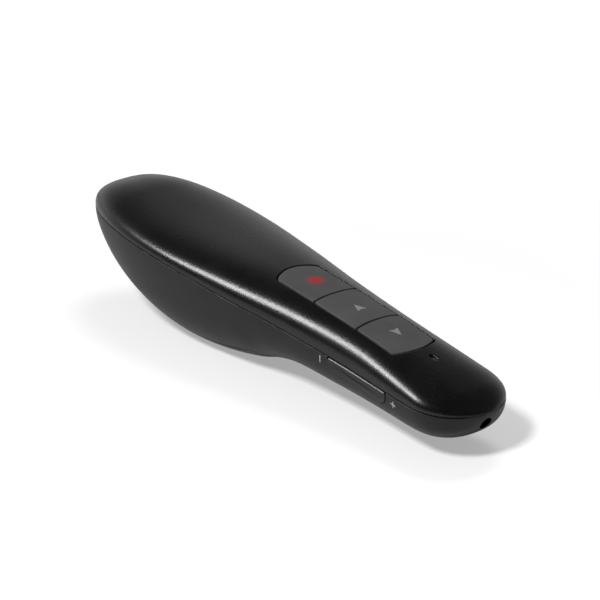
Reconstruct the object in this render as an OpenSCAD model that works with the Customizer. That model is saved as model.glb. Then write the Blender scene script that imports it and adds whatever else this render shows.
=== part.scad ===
// Hand-held wireless presenter: a slim control end on a battery bulge.
// +X points to the laser end, +Y to the left, +Z up. The origin is at the
// middle of the length, on the surface that the bulge rests on.

/* [Body] */
// Overall length, rear end to nose
body_l = 140; // [134:1:150]
// Greatest width, across the battery bulge
body_w = 35.2; // [34:0.2:40]
// Thickness of the top cover and the lower shell
wall = 1.8; // [1.4:0.1:2]
// Roundness of the cover's cross-section, 2 is an ellipse
cover_power = 2.65; // [2.3:0.05:3]
// Roundness of the lower shell's cross-section, 2 is an ellipse
shell_power = 2.3; // [2.1:0.05:2.5]
// Gap along the parting line between cover and lower shell
seam_gap = 0.1; // [0.05:0.05:0.2]

/* [Keys] */
// Half the width of the three keys
key_half_w = 6.3; // [5.6:0.1:6.8]
// Length of the two page keys along the deck
key_pitch = 15.2; // [14:0.1:16]
// Length of the laser key at its side edges
laser_key_l = 13.6; // [12:0.1:14.5]
// Slit round each key and between neighbours
key_gap = 0.2; // [0.15:0.05:0.3]
// How far a key travels
key_travel = 0.3; // [0.2:0.05:0.35]
// Thickness of a key's retaining flange
key_flange_t = 0.6; // [0.5:0.1:0.8]
// How far the flange stands out beyond the key
key_flange_out = 0.8; // [0.5:0.1:1]
// Slope of the key deck, down to the nose, in degrees
key_tilt = 7; // [6:0.5:8]

/* [Volume rocker] */
// Length of the rocker along the seam
rocker_l = 20; // [18:0.5:22]
// Height of the rocker
rocker_h = 3.6; // [3.2:0.1:4]
// Slit round the rocker
rocker_gap = 0.2; // [0.15:0.05:0.3]
// Distance from the nose to the rocker's centre
rocker_from_nose = 31; // [29:0.5:32]
// Diameter of the rocker's pivot pin
rocker_pin_d = 1; // [0.8:0.1:1.2]

/* [Power slider] */
// Length of the power slider's knob
knob_l = 6; // [5:0.5:7]
// Height of the knob
knob_h = 2.8; // [2.4:0.1:3.2]
// How far the knob slides between off and on
knob_travel = 2; // [1.5:0.1:2.5]

/* [Laser] */
// Diameter of the laser's exit hole
aperture_d = 3; // [2.4:0.1:3.2]
// Height of the laser's axis over the table
laser_z = 9.6; // [9.4:0.1:10]
// Outer diameter of the laser barrel
barrel_d = 6; // [5.6:0.1:6.2]
// Length of the laser barrel
barrel_l = 11; // [10:0.5:11.5]

/* [Batteries] */
// Diameter of one cell
cell_d = 10.5; // [10:0.1:10.8]
// Length of one cell with its button
cell_l = 44.5; // [43:0.1:45]
// Height of the cells' axes over the table
cell_z = 12.3; // [12.2:0.1:12.5]
// Room for a contact spring at the end of a cell
spring_l = 3.5; // [3:0.1:4]
// Distance from the rear end to the battery bay's rear wall
bay_from_rear = 21.7; // [21:0.1:23]

/* [Receiver] */
// Width of the receiver's metal plug
plug_w = 12; // [11.5:0.1:12.2]
// Height of the receiver's metal plug
plug_h = 4.5; // [4.2:0.1:4.6]
// Width of the receiver's cap
cap_w = 14.4; // [14:0.1:15]
// Height of the receiver's cap
cap_h = 6.2; // [6:0.1:6.4]
// Height of the receiver's middle over the table
receiver_z = 20.2; // [20:0.1:20.4]

/* [Hidden] */
$fn = 48;

// ---- clearances ----
slip = 0.05;      // radial room of a running fit
loose = 0.15;     // room between parts that are assembled by hand
touch = 0.02;     // room round a part that is held
sink = 0.6;       // how deep a post or rib runs into the shell it grows from

// ---- the body's form: curves along its length, at fractions of it ----
// half width of the plan, as a share of the greatest half width
plan_curve = [[0, 0.778], [0.15, 0.969], [0.3, 1], [0.45, 0.903], [0.6, 0.758], [0.75, 0.674],
    [0.9, 0.693], [1, 0.704]];
// height of the top's centre line
top_curve = [[0, 32.8], [0.25, 28.6], [0.5, 25.85], [0.75, 22.2], [0.9, 18.2], [1, 14.5]];
// height of the parting line
seam_curve = [[0, 24.5], [0.05, 24.9], [0.15, 24.8], [0.3, 22.9], [0.5, 19.3], [0.75, 14.9],
    [0.9, 13], [1, 12.5]];
// height of the underside's centre line
keel_curve = [[0, 10], [0.12, 2.7], [0.25, -0.2], [0.38, -0.1], [0.48, 2], [0.54, 4.5],
    [0.6, 5.7], [0.7, 5], [0.85, 3.9], [1, 2.3]];
// lengths of the rounded ends, as shares of the body's, and their powers
plan_rear_end = 0.336;
plan_rear_power = 3.2;
plan_nose_end = 0.086;
top_rear_end = 0.129;
top_nose_end = 0.046;
keel_rear_end = 0.379;
keel_rear_power = 2.15;
keel_nose_end = 0.125;
// facets of the shells: stations along the length, steps over half a section
stations = 36;
steps = 18;

function knot_slope(c, i) =
    let (a = max(i - 1, 0), b = min(i + 1, len(c) - 1)) (c[b][1] - c[a][1]) / (c[b][0] - c[a][0]);
// cubic curve through the knots c, read at u
function along(c, u, i = 0) =
    u > c[i + 1][0] && i < len(c) - 2 ? along(c, u, i + 1) :
    let (h = c[i + 1][0] - c[i][0], t = (u - c[i][0]) / h, t2 = t * t, t3 = t2 * t)
    (2 * t3 - 3 * t2 + 1) * c[i][1] + (t3 - 2 * t2 + t) * h * knot_slope(c, i)
    + (3 * t2 - 2 * t3) * c[i + 1][1] + (t3 - t2) * h * knot_slope(c, i + 1);
function unit(t) = min(max(t, 0), 1);
// 1 along the middle, falling to 0 at both ends like a superellipse
function rounding(u, rear, rear_p, nose, nose_p) =
    pow(1 - pow(unit(1 - u / rear), rear_p), 1 / rear_p)
    * pow(1 - pow(unit(1 - (1 - u) / nose), nose_p), 1 / nose_p);
function share(x) = (x + body_l / 2) / body_l;
function half_w(x) = body_w / 2 * along(plan_curve, share(x))
    * rounding(share(x), plan_rear_end, plan_rear_power, plan_nose_end, 2);
function seam_z(x) = along(seam_curve, share(x));
function rise(x) = (along(top_curve, share(x)) - seam_z(x))
    * rounding(share(x), top_rear_end, 2, top_nose_end, 2);
function drop(x) = (seam_z(x) - along(keel_curve, share(x)))
    * rounding(share(x), keel_rear_end, keel_rear_power, keel_nose_end, 2);
// the other half axis of a superellipse at the share t of one
function bulge(t, power) = pow(1 - pow(unit(t), power), 1 / power);
// height of the top surface and of the underside over or under a point of the plan
function top_z(x, y) = seam_z(x) + rise(x) * bulge(abs(y) / half_w(x), cover_power);
function keel_z(x, y) = seam_z(x) - drop(x) * bulge(abs(y) / half_w(x), shell_power);
// half width of the lower shell at a height
function side_y(x, z) = half_w(x) * bulge((seam_z(x) - z) / drop(x), shell_power);

// a point of the skin: x along the length, v degrees round the section
function skin(x, v) =
    let (c = cos(v), s = sin(v), n = s > 0 ? cover_power : shell_power,
        r = pow(pow(abs(c), n) + pow(abs(s), n), -1 / n))
    [x, half_w(x) * r * c, seam_z(x) + (s > 0 ? rise(x) : drop(x)) * r * s];
function station(i) = -body_l / 2 * cos(180 * i / stations);
// the outward direction of the skin there
function skin_normal(x, v) =
    let (dx = 0.01, dv = 0.5,
        n = cross(skin(x, v + dv) - skin(x, v - dv), skin(x + dx, v) - skin(x - dx, v))) n / norm(n);
function skin_in(x, v, inset) = skin(x, v) - inset * skin_normal(x, v);
function end_point(side, inset) = [side * (body_l / 2 - inset), 0, seam_z(side * body_l / 2)];
function tri(a, b, c) = a == b || b == c || c == a ? [] : [[a, b, c]];
function quad(a, b, c, d) = concat(tri(a, b, c), tri(a, c, d));

// half of the body from angle v0 to v0 + 180 as one shell; lift raises its rim
module half_shell(v0, lift) {
    row = steps + 1;
    count = (stations - 1) * row;
    function at(layer, i, j) = i == 0 ? 2 * layer : i == stations ? 2 * layer + 1
        : 4 + layer * count + (i - 1) * row + j;
    function rim(j) = j == 0 || j == steps ? [0, 0, lift] : [0, 0, 0];
    points = concat(
        [for (inset = [0, wall]) for (side = [-1, 1]) end_point(side, inset) + [0, 0, lift]],
        [for (inset = [0, wall]) for (i = [1:stations - 1]) for (j = [0:steps])
            skin_in(station(i), v0 + 180 * j / steps, inset) + rim(j)]);
    faces = [for (i = [0:stations - 1]) each concat(
        [for (j = [0:steps - 1]) each concat(
            quad(at(0, i, j), at(0, i + 1, j), at(0, i + 1, j + 1), at(0, i, j + 1)),
            quad(at(1, i, j), at(1, i, j + 1), at(1, i + 1, j + 1), at(1, i + 1, j)))],
        quad(at(0, i, 0), at(1, i, 0), at(1, i + 1, 0), at(0, i + 1, 0)),
        quad(at(0, i, steps), at(0, i + 1, steps), at(1, i + 1, steps), at(1, i, steps)))];
    polyhedron(points, faces);
}

// ---- the places of things ----
nose = body_l / 2;
rear = -body_l / 2;

// batteries
contact_t = 0.3;
link_t = 0.4;
link_dimple = 0.6;
bay_rear = rear + bay_from_rear;
cell_rear = bay_rear + spring_l + contact_t;
cell_front = cell_rear + cell_l;
bay_front = cell_front + link_t + link_dimple;
cell_y = cell_d / 2 + 0.05;
bay_half_w = cell_y + cell_d / 2 + loose;
bay_top = cell_z + cell_d / 2 + loose;
tray_t = 1.2;
tray_side_t = 0.7;
tray_front_t = 1.6;

// everything in front of the bay stretches along X with the room there
front_room = 69;
fit = (nose - bay_front) / front_room;

// the key deck: a frame that leans with the keys, its origin on the page back key
deck_x = nose - 45 * fit;
deck_z = top_z(deck_x, 0);
module on_deck() translate([deck_x, 0, deck_z]) rotate([0, key_tilt, 0]) children();
// a point of the deck frame given in the frame of the body, and heights over the deck
function deck_point(x, y, z) = [deck_x + x * cos(key_tilt) + z * sin(key_tilt), y,
    deck_z - x * sin(key_tilt) + z * cos(key_tilt)];
function deck_top(x, y, z = 0, n = 4) =
    let (p = deck_point(x, y, z), gap = top_z(p[0], y) - p[2])
    n == 0 ? z : deck_top(x, y, z + gap / cos(key_tilt), n - 1);
function deck_floor(x, y, z = -15, n = 6) =
    let (p = deck_point(x, y, z), gap = keel_z(p[0], y) - p[2])
    n == 0 ? z : deck_floor(x, y, z + gap / cos(key_tilt), n - 1);

// edges of the three keys along the deck, rear to front, and how far each bows
divider_1 = -key_pitch / 2 * fit;
divider_2 = key_pitch / 2 * fit;
key_rear = divider_1 - laser_key_l * fit;
front_key_cut = 2.5;  // how much shorter the front key's side edges are
key_front = divider_2 + (key_pitch - front_key_cut) * fit;
rear_bow = 2.4 * fit;
divider_bow = 0.35 * fit;
front_bow = 1.6 * fit;
corner_pull = 0.5;   // rounding of the group's outer corners
corner_w = 1.4;

// depths under the deck, along its normal
flange_top = -3.4;
flange_bottom = flange_top - key_flange_t;
mat_t = 0.8;
board_top = -8.2;
board_t = 1;
board_bottom = board_top - board_t;
board_rear = -20.2 * fit;
board_front = 25.6 * fit;
// height of the board's underside over the table at a place along the body
function board_underside(x) = deck_z - (x - deck_x) * tan(key_tilt) + board_bottom / cos(key_tilt);

// tact switches under the keys
switch_w = 4.5;
switch_h = 2;
plunger_r = 1;
plunger_top = board_top + switch_h + 0.7;
plunger_foot = 0.9;  // how far a plunger reaches into its switch
key_middle = [(key_rear + divider_1) / 2, 0, (divider_2 + key_front) / 2];

// volume rocker
rocker_x = nose - rocker_from_nose * fit;
rocker_half_l = rocker_l / 2 * fit;
rocker_mid = (rocker_x - deck_x) / cos(key_tilt) + 1.2;  // its middle on the deck
waist = half_w(rocker_x);   // what lies at the sides is set in from here
board_half_w = waist - 2.8;
side_switch_d = 3;
side_switch_h = 1.8;
side_switch_l = 4;
side_switch_y = waist - 6.2;
side_plunger_r = 0.6;
side_plunger_z = board_bottom - side_switch_h / 2;
side_plunger_out = 0.7;
side_arm = 7 * fit;         // from the pivot to each side switch
pivot_y = waist - 3.6;
rocker_inner_y = side_switch_y + side_switch_d + side_plunger_out + 0.5;

// power slider
slider_x = 2;
slider_z = -11.5;
pocket_y = waist - 0.9;
stem_l = 3;
stem_h = 1.5;
lever_w = 1.2;
power_can_l = 8;
power_can_h = 3.5;
power_can_d = 3;
power_can_y = waist - 3.6;  // its outer face
lever_end_y = waist - 2.5;

// laser
barrel_front = nose - 8 * fit;
barrel_length = barrel_l * fit;
barrel_rear = barrel_front - barrel_length;

// door in the underside
door_rear = bay_rear + 1;
door_front = bay_front;
door_half_w = bay_half_w - 0.1;
door_gap = 0.15;
door_corner = 3;

// receiver
receiver_rear = rear + 2;
cap_l = 6.5;
plug_l = 11;
dock_room = 0.15;
plug_rear = receiver_rear + cap_l;
plug_front = plug_rear + plug_l;
dock_rear = plug_rear + 2.6;

// ---- shared shapes ----
module box(low, high) translate(low) cube(high - low);
// a bar with round ends along X, seen from above, between z0 and z1
module capsule(l, w, z0, z1) translate([0, 0, z0]) linear_extrude(z1 - z0) {
    square([l - w, w], center = true);
    for (side = [-1, 1]) translate([side * (l - w) / 2, 0]) circle(d = w);
}
module rounded_plate(low, high, r, z0, z1) translate([0, 0, z0]) linear_extrude(z1 - z0) {
    translate([low[0] + r, low[1]]) square([high[0] - low[0] - 2 * r, high[1] - low[1]]);
    translate([low[0], low[1] + r]) square([high[0] - low[0], high[1] - low[1] - 2 * r]);
    for (x = [low[0] + r, high[0] - r], y = [low[1] + r, high[1] - r]) translate([x, y]) circle(r);
}
// x of an edge that bows by `bow` at the middle and is pulled in at its ends
function bowed(x, bow, y) = x + bow * (1 - pow(y / key_half_w, 2));
function corner(y) =
    let (t = unit((abs(y) - key_half_w + corner_w) / corner_w)) corner_pull * (1 - sqrt(1 - t * t));
function key_edge(k, y) =
    k == 0 ? bowed(key_rear, -rear_bow, y) + corner(y) :
    k == 1 ? bowed(divider_1, -divider_bow, y) :
    k == 2 ? bowed(divider_2, -divider_bow, y) :
    bowed(key_front, front_bow, y) - corner(y);
// outline between two edges, grown by g along the deck and across it
function key_outline(k0, k1, g0, g1, gy, n = 12) = concat(
    [for (i = [0:n]) let (t = 1 - 2 * i / n) [key_edge(k0, t * key_half_w) - g0, t * (key_half_w + gy)]],
    [for (i = [0:n]) let (t = 2 * i / n - 1) [key_edge(k1, t * key_half_w) + g1, t * (key_half_w + gy)]]);
module key_prism(k0, k1, g0, g1, gy, z0, z1)
    translate([0, 0, z0]) linear_extrude(z1 - z0) polygon(key_outline(k0, k1, g0, g1, gy));

// a block whose top follows the cover, on a grid between two key edges
module crowned_block(k0, k1, g0, g1, bottom, n = 8) {
    function x_at(i, y) = let (a = key_edge(k0, y) + g0, b = key_edge(k1, y) - g1) a + (b - a) * i / n;
    function y_at(j) = key_half_w * (2 * j / n - 1);
    row = n + 1;
    count = row * row;
    points = [for (layer = [0, 1]) for (i = [0:n]) for (j = [0:n])
        let (y = y_at(j), x = x_at(i, y)) [x, y, layer == 0 ? deck_top(x, y) : bottom]];
    function at(layer, i, j) = layer * count + i * row + j;
    polyhedron(points, [for (i = [0:n - 1]) each concat(
        [for (j = [0:n - 1]) each concat(
            quad(at(0, i, j), at(0, i, j + 1), at(0, i + 1, j + 1), at(0, i + 1, j)),
            quad(at(1, i, j), at(1, i + 1, j), at(1, i + 1, j + 1), at(1, i, j + 1)))],
        quad(at(0, i, 0), at(0, i + 1, 0), at(1, i + 1, 0), at(1, i, 0)),
        quad(at(0, i, n), at(1, i, n), at(1, i + 1, n), at(0, i + 1, n)),
        quad(at(0, 0, i), at(1, 0, i), at(1, 0, i + 1), at(0, 0, i + 1)),
        quad(at(0, n, i), at(0, n, i + 1), at(1, n, i + 1), at(1, n, i)))]);
}

// ---- casing ----
led_x = nose - 18.9 * fit;
led_y = 0.6;
led_slot_l = 2.8;
led_slot_w = 1.1;
led_deck_x = 24.2 * fit;
// snaps that hold the cover: a root in the cover's wall and a blade down inside the shell
snap_x = [cell_rear + cell_l / 3, nose - 55 * fit];
snap_l = 5;
snap_room = 0.6;
snap_t = 1;
snap_root = 0.6;
snap_top = 1.8;
snap_depth = 3;
// its children on the left for side 1, mirrored to the right for side -1
module sided(side) mirror([0, side < 0 ? 1 : 0, 0]) children();
module snap(x) {
    y = half_w(x) - wall;
    z = seam_z(x);
    translate([x, y, z]) {
        box([-snap_l / 2, -snap_room - snap_t, seam_gap + 0.4], [snap_l / 2, snap_root, snap_top]);
        box([-snap_l / 2, -snap_room - snap_t, -snap_depth], [snap_l / 2, -snap_room, snap_top]);
    }
}
module top_cover() color("#2b2b2d") difference() {
    union() {
        half_shell(0, seam_gap);
        for (x = snap_x, side = [-1, 1]) sided(side) snap(x);
    }
    on_deck() key_prism(0, 3, key_gap, key_gap, key_gap, -2 * wall - 4, 4);
    translate([led_x, led_y, 0]) capsule(led_slot_l, led_slot_w, seam_z(led_x), deck_z + 2);
}

// the lower half, flattened where it rests on the table
module bowl() difference() {
    half_shell(180, 0);
    box([rear, -body_w, -5], [nose, body_w, 0]);
}
module door_prism(gap)
    rounded_plate([door_rear - gap, -door_half_w - gap], [door_front + gap, door_half_w + gap],
        door_corner + gap, -3, cell_z);

// outline of the rocker seen from the side, grown by g; its top follows the seam
rocker_top_r = 0.6;
rocker_low_r = 2.6;
function end_drop(d, r) = d >= r ? 0 : r - sqrt(r * r - pow(r - max(d, 0), 2));
function rocker_high(x, g = 0) = seam_z(x) - rocker_gap / 2 + g
    - end_drop(rocker_half_l + g - abs(x - rocker_x), rocker_top_r);
function rocker_low(x, g = 0) = seam_z(x) - rocker_gap / 2 - rocker_h - g
    + end_drop(rocker_half_l + g - abs(x - rocker_x), rocker_low_r + g);
function rocker_station(i, n, g = 0) = rocker_x - (rocker_half_l + g) * cos(180 * i / n);
module rocker_opening(n = 24) rotate([90, 0, 0]) translate([0, 0, waist - 2 * wall])
    linear_extrude(body_w / 2) polygon(concat(
        [for (i = [0:n]) let (x = rocker_station(i, n, rocker_gap)) [x, rocker_low(x, rocker_gap)]],
        [for (side = [1, -1]) let (x = rocker_x + side * (rocker_half_l + rocker_gap)) [x, seam_z(x) + 1]]));

board_post_x = [-7.4 * fit, 7 * fit];
screw_r = 0.8;
screw_l = 5;          // of the board's screws below the board
screw_head_r = 1.7;
screw_head_h = 1.1;
post_r = 2.2;
tab_t = 1.4;
tab_screw_x = bay_front + 7;
tab_screw_y = 6;
tab_screw_room = 0.3; // between the board's underside and the heads of the tab screws
tab_z = board_underside(tab_screw_x + screw_head_r) - tab_screw_room - screw_head_h - tab_t;
foot_x = (dock_rear + bay_rear) / 2;
dock_bottom = receiver_z - plug_h / 2 - dock_room - tray_t;
cradle_x = [barrel_front - 0.8 * barrel_length, barrel_front - 0.2 * barrel_length];
cradle_half_w = barrel_d / 2 + 0.9;
cradle_end = 1;       // the bore runs on past the cradle by this
tab_screw_l = 4.2;    // of the tab screws in their posts
// posts and the laser's cradle, rooted in the shell's wall
module posts() intersection() {
    union() {
        for (x = board_post_x) on_deck() translate([x, 0, deck_floor(x, 0)])
            cylinder(r = post_r, h = board_bottom - deck_floor(x, 0));
        for (side = [-1, 1]) translate([tab_screw_x, side * tab_screw_y, 0]) cylinder(r = post_r, h = tab_z);
        translate([foot_x, 0, 0]) cylinder(r = post_r, h = dock_bottom);
        box([cradle_x[0], -cradle_half_w, 0], [cradle_x[1], cradle_half_w, laser_z]);
    }
    whole_body(wall - sink);
}
module along_x(r, x0, x1, y, z) translate([x0, y, z]) rotate([0, 90, 0]) cylinder(r = r, h = x1 - x0);
module lower_shell() color("#303033") difference() {
    union() {
        bowl();
        posts();
    }
    door_prism(door_gap);
    rocker_opening();
    box([rear - 5, -cap_w / 2 - dock_room, receiver_z - cap_h / 2 - dock_room],
        [rear + 10, cap_w / 2 + dock_room, receiver_z + cap_h / 2 + dock_room]);
    along_x(barrel_d / 2 + touch, cradle_x[0] - cradle_end, cradle_x[1] + cradle_end, 0, laser_z);
    along_x(aperture_d / 2, barrel_front + 1, nose + 1, 0, laser_z);
    on_deck() {
        for (x = board_post_x) translate([x, 0, board_bottom - screw_l - 0.2])
            cylinder(r = screw_r + touch, h = screw_l + 1);
        translate([slider_x + knob_travel / 2, pocket_y, slider_z]) rotate([-90, 0, 0])
            capsule(knob_l + knob_travel + 4 * loose, knob_h + 0.4, 0, 4);
        box([slider_x - stem_l / 2 - loose, pocket_y - 4, slider_z - stem_h / 2 - loose],
            [slider_x + knob_travel + stem_l / 2 + loose, pocket_y + 1, slider_z + stem_h / 2 + loose]);
    }
    for (side = [-1, 1]) translate([tab_screw_x, side * tab_screw_y, tab_z - tab_screw_l - 0.2])
        cylinder(r = screw_r + touch, h = tab_screw_l + 1);
}

tongue_half_w = 3;
tongue_reach = 2.2;
tongue_t = 0.8;
tongue_root = 1.4;
grip_x = [2.5, 4.5, 6.5];
grip_r = 0.6;
grip_w = 10;
module battery_door() color("#2e2e31") union() {
    difference() {
        intersection() {
            bowl();
            door_prism(0);
        }
        for (x = grip_x) translate([door_rear + x, grip_w / 2, keel_z(door_rear + x, 0) - grip_r / 3])
            rotate([90, 0, 0]) cylinder(r = grip_r, h = grip_w);
    }
    tip = door_front + tongue_reach;
    z = keel_z(tip, tongue_half_w) + wall + 0.35;
    root = door_front - tongue_root;
    box([root, -tongue_half_w, keel_z(root, 0) + wall - 0.5], [door_front, tongue_half_w, z + tongue_t]);
    box([root, -tongue_half_w, z], [tip, tongue_half_w, z + tongue_t]);
}

tray_rear_half_w = 8.5;
tray_front_half_w = 9.5;
tab_half_w = 2.7;
tab_end = 3;          // the tab runs on past its screw by this
dock_wall = 1;
dock_half_w = plug_w / 2 + dock_room;
dock_top = receiver_z + plug_h / 2 + dock_room;
// the tray over the cells, with the receiver's dock behind it
module chassis() color("#55565a") difference() {
    union() {
        box([bay_rear - tray_t, -bay_half_w - tray_side_t, bay_top],
            [bay_front + tray_front_t, bay_half_w + tray_side_t, bay_top + tray_t]);
        for (side = [-1, 1]) sided(side) box([cell_rear + 0.5, bay_half_w, cell_z],
            [bay_front + 0.6, bay_half_w + tray_side_t, bay_top + 0.1]);
        box([bay_rear - tray_t, -tray_rear_half_w, cell_z - 1.4],
            [bay_rear, tray_rear_half_w, bay_top + 0.1]);
        box([bay_front, -tray_front_half_w, cell_z - 2.8],
            [bay_front + tray_front_t, tray_front_half_w, bay_top + 0.1]);
        for (side = [-1, 1]) sided(side) box([bay_front + tray_front_t / 2, tab_screw_y - tab_half_w, tab_z],
            [tab_screw_x + tab_end, tab_screw_y + tab_half_w, tab_z + tab_t]);
        box([dock_rear, -dock_half_w - dock_wall, dock_bottom],
            [bay_rear - tray_t / 2, dock_half_w + dock_wall, dock_top + dock_wall]);
    }
    box([dock_rear - 1, -dock_half_w, dock_bottom + tray_t], [plug_front + 0.2, dock_half_w, dock_top]);
    for (side = [-1, 1]) translate([tab_screw_x, side * tab_screw_y, tab_z - 1])
        cylinder(r = screw_r + 0.2, h = tab_t + 2);
}

// a pan-head screw pointing down, its head's underside at the origin
module screw(l) {
    difference() {
        cylinder(r = screw_head_r, h = screw_head_h);
        for (a = [0, 90]) rotate([0, 0, a]) box([-1, -0.2, screw_head_h - 0.6], [1, 0.2, screw_head_h + 1]);
    }
    translate([0, 0, -l]) cylinder(r = screw_r, h = l + 0.1);
}
module chassis_screws() color("silver") for (side = [-1, 1])
    translate([tab_screw_x, side * tab_screw_y, tab_z + tab_t]) screw(tab_t + tab_screw_l);
module board_screws() color("silver")
    on_deck() for (x = board_post_x) translate([x, 0, board_top]) screw(board_t + screw_l);

// ---- electronics ----
module main_board() color("#1f6b3f") on_deck() difference() {
    box([board_rear, -board_half_w, board_bottom], [board_front, board_half_w, board_top]);
    for (x = board_post_x) translate([x, 0, board_bottom - 1]) cylinder(r = screw_r + 0.2, h = board_t + 2);
}
// a block under the board, its place given along the default deck
module on_board_bottom(x, y, l, w, h) on_deck() translate([x * fit, y, board_bottom - h])
    box([-l / 2, -w / 2, 0], [l / 2, w / 2, h]);
module radio_chip() color("#1a1a1a") on_board_bottom(-13.5, 0, 5, 5, 0.9);
module crystal_can() color("silver") on_board_bottom(-2.5, -3.5, 3.2, 2.5, 0.8);
chip_part_places = [[-17.5, -2.2], [-17.5, 2.2], [-2.6, -0.9], [-2.6, 2.2], [0.4, -2.2], [0.4, 2.2],
    [11, -2.2], [11, 2.2]];
module chip_parts() color("#b08a5a") for (p = chip_part_places) on_board_bottom(p[0], p[1], 1, 0.5, 0.5);
module status_led() color("#cfe8d2") on_deck()
    box([led_deck_x - 0.8, led_y - 0.4, board_top], [led_deck_x + 0.8, led_y + 0.4, board_top + 0.6]);
pipe_foot_z = deck_point(led_deck_x, 0, board_top + 0.6)[2] + 0.15;
module light_pipe() color("#d8dcdc") translate([led_x, led_y, 0]) {
    box([-led_slot_l / 2 - 2, -led_slot_w / 2 + touch, pipe_foot_z],
        [led_slot_l / 2 - touch, led_slot_w / 2 - touch, pipe_foot_z + 1.2]);
    capsule(led_slot_l - 2 * touch, led_slot_w - 2 * touch, pipe_foot_z, top_z(led_x, led_y) - 0.5);
}

module tact_switch(x) color("#77787c") on_deck() difference() {
    box([x - switch_w / 2, -switch_w / 2, board_top], [x + switch_w / 2, switch_w / 2, board_top + switch_h]);
    translate([x, 0, board_top + switch_h - plunger_foot - key_travel - 0.1])
        cylinder(r = plunger_r + slip, h = switch_h + 1);
}
module tact_plunger(x) color("#d8d2c0") on_deck() translate([x, 0, board_top + switch_h - plunger_foot])
    cylinder(r = plunger_r, h = plunger_top - board_top - switch_h + plunger_foot);
module laser_key_switch() tact_switch(key_middle[0]);
module page_back_switch() tact_switch(key_middle[1]);
module page_forward_switch() tact_switch(key_middle[2]);
module laser_key_plunger() tact_plunger(key_middle[0]);
module page_back_plunger() tact_plunger(key_middle[1]);
module page_forward_plunger() tact_plunger(key_middle[2]);

// ---- keys ----
module key(k) color("#454548") on_deck() union() {
    crowned_block(k, k + 1, k == 0 ? 0 : key_gap / 2, k == 2 ? 0 : key_gap / 2,
        flange_top - key_flange_t / 2);
    key_prism(k, k + 1, k == 0 ? key_flange_out : -key_gap / 2, k == 2 ? key_flange_out : -key_gap / 2,
        key_flange_out, flange_bottom, flange_top);
}
module laser_key() key(0);
module page_back_key() key(1);
module page_forward_key() key(2);
mat_rear = key_rear - rear_bow - 0.4;
mat_front = key_front + front_bow + 0.8;
mat_half_w = key_half_w + 1.3;
skirt_rear = board_rear + 0.6;
pad_r = 1.4;
module key_mat() color("#3a3a3a") on_deck() union() {
    box([mat_rear, -mat_half_w, flange_bottom - mat_t], [mat_front, mat_half_w, flange_bottom]);
    difference() {
        box([skirt_rear, -mat_half_w, board_top], [mat_front, mat_half_w, flange_bottom - mat_t / 2]);
        box([skirt_rear + mat_t, -mat_half_w + mat_t, board_top - 1],
            [mat_front - mat_t, mat_half_w - mat_t, flange_bottom - mat_t]);
    }
    for (x = key_middle) translate([x, 0, plunger_top])
        cylinder(r = pad_r, h = flange_bottom - mat_t / 2 - plunger_top);
}

// ---- volume rocker on the right side ----
rocker_proud = 0.15;
nub_gap = 0.05;
lug_half_l = 1.3;
lug_top = board_bottom - 0.55;
lug_bottom = lug_top - 0.9;
ear_t = 0.5;
module along_y(r, x, y0, y1, z) translate([x, y0, z]) rotate([-90, 0, 0]) cylinder(r = r, h = y1 - y0);
module rocker_block(n = 20, m = 6) {
    function z_at(i, j) =
        let (x = rocker_station(i, n), low = rocker_low(x)) low + (rocker_high(x) - low) * j / m;
    function y_at(i, j) = side_y(rocker_station(i, n), z_at(i, j))
        + (i == 0 || i == n || j == 0 || j == m ? 0 : rocker_proud);
    row = m + 1;
    count = (n + 1) * row;
    points = [for (layer = [0, 1]) for (i = [0:n]) for (j = [0:m])
        [rocker_station(i, n), layer == 0 ? -y_at(i, j) : -rocker_inner_y, z_at(i, j)]];
    function at(layer, i, j) = layer * count + i * row + j;
    polyhedron(points, concat(
        [for (i = [0:n - 1]) for (j = [0:m - 1]) each concat(
            quad(at(0, i, j), at(0, i, j + 1), at(0, i + 1, j + 1), at(0, i + 1, j)),
            quad(at(1, i, j), at(1, i + 1, j), at(1, i + 1, j + 1), at(1, i, j + 1)))],
        [for (i = [0:n - 1]) each concat(
            quad(at(0, i, 0), at(0, i + 1, 0), at(1, i + 1, 0), at(1, i, 0)),
            quad(at(0, i, m), at(1, i, m), at(1, i + 1, m), at(0, i + 1, m)))],
        [for (j = [0:m - 1]) each concat(
            quad(at(0, 0, j), at(1, 0, j), at(1, 0, j + 1), at(0, 0, j + 1)),
            quad(at(0, n, j), at(0, n, j + 1), at(1, n, j + 1), at(1, n, j)))]));
}
module volume_rocker() color("#39393c") difference() {
    union() {
        rocker_block();
        on_deck() {
            box([rocker_mid - lug_half_l, -rocker_inner_y - 0.4, lug_bottom],
                [rocker_mid + lug_half_l, -pivot_y + 0.8, lug_top]);
            for (side = [-1, 1]) along_y(0.5, rocker_mid + side * side_arm, -rocker_inner_y - 0.4,
                -rocker_inner_y + 0.5 - nub_gap, side_plunger_z);
        }
    }
    on_deck() translate([rocker_mid, -pivot_y, lug_bottom - 1]) cylinder(d = rocker_pin_d + 2 * slip, h = 4);
}
bracket_half_l = 2.6;
bracket_bottom = lug_bottom - slip - ear_t;
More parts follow.
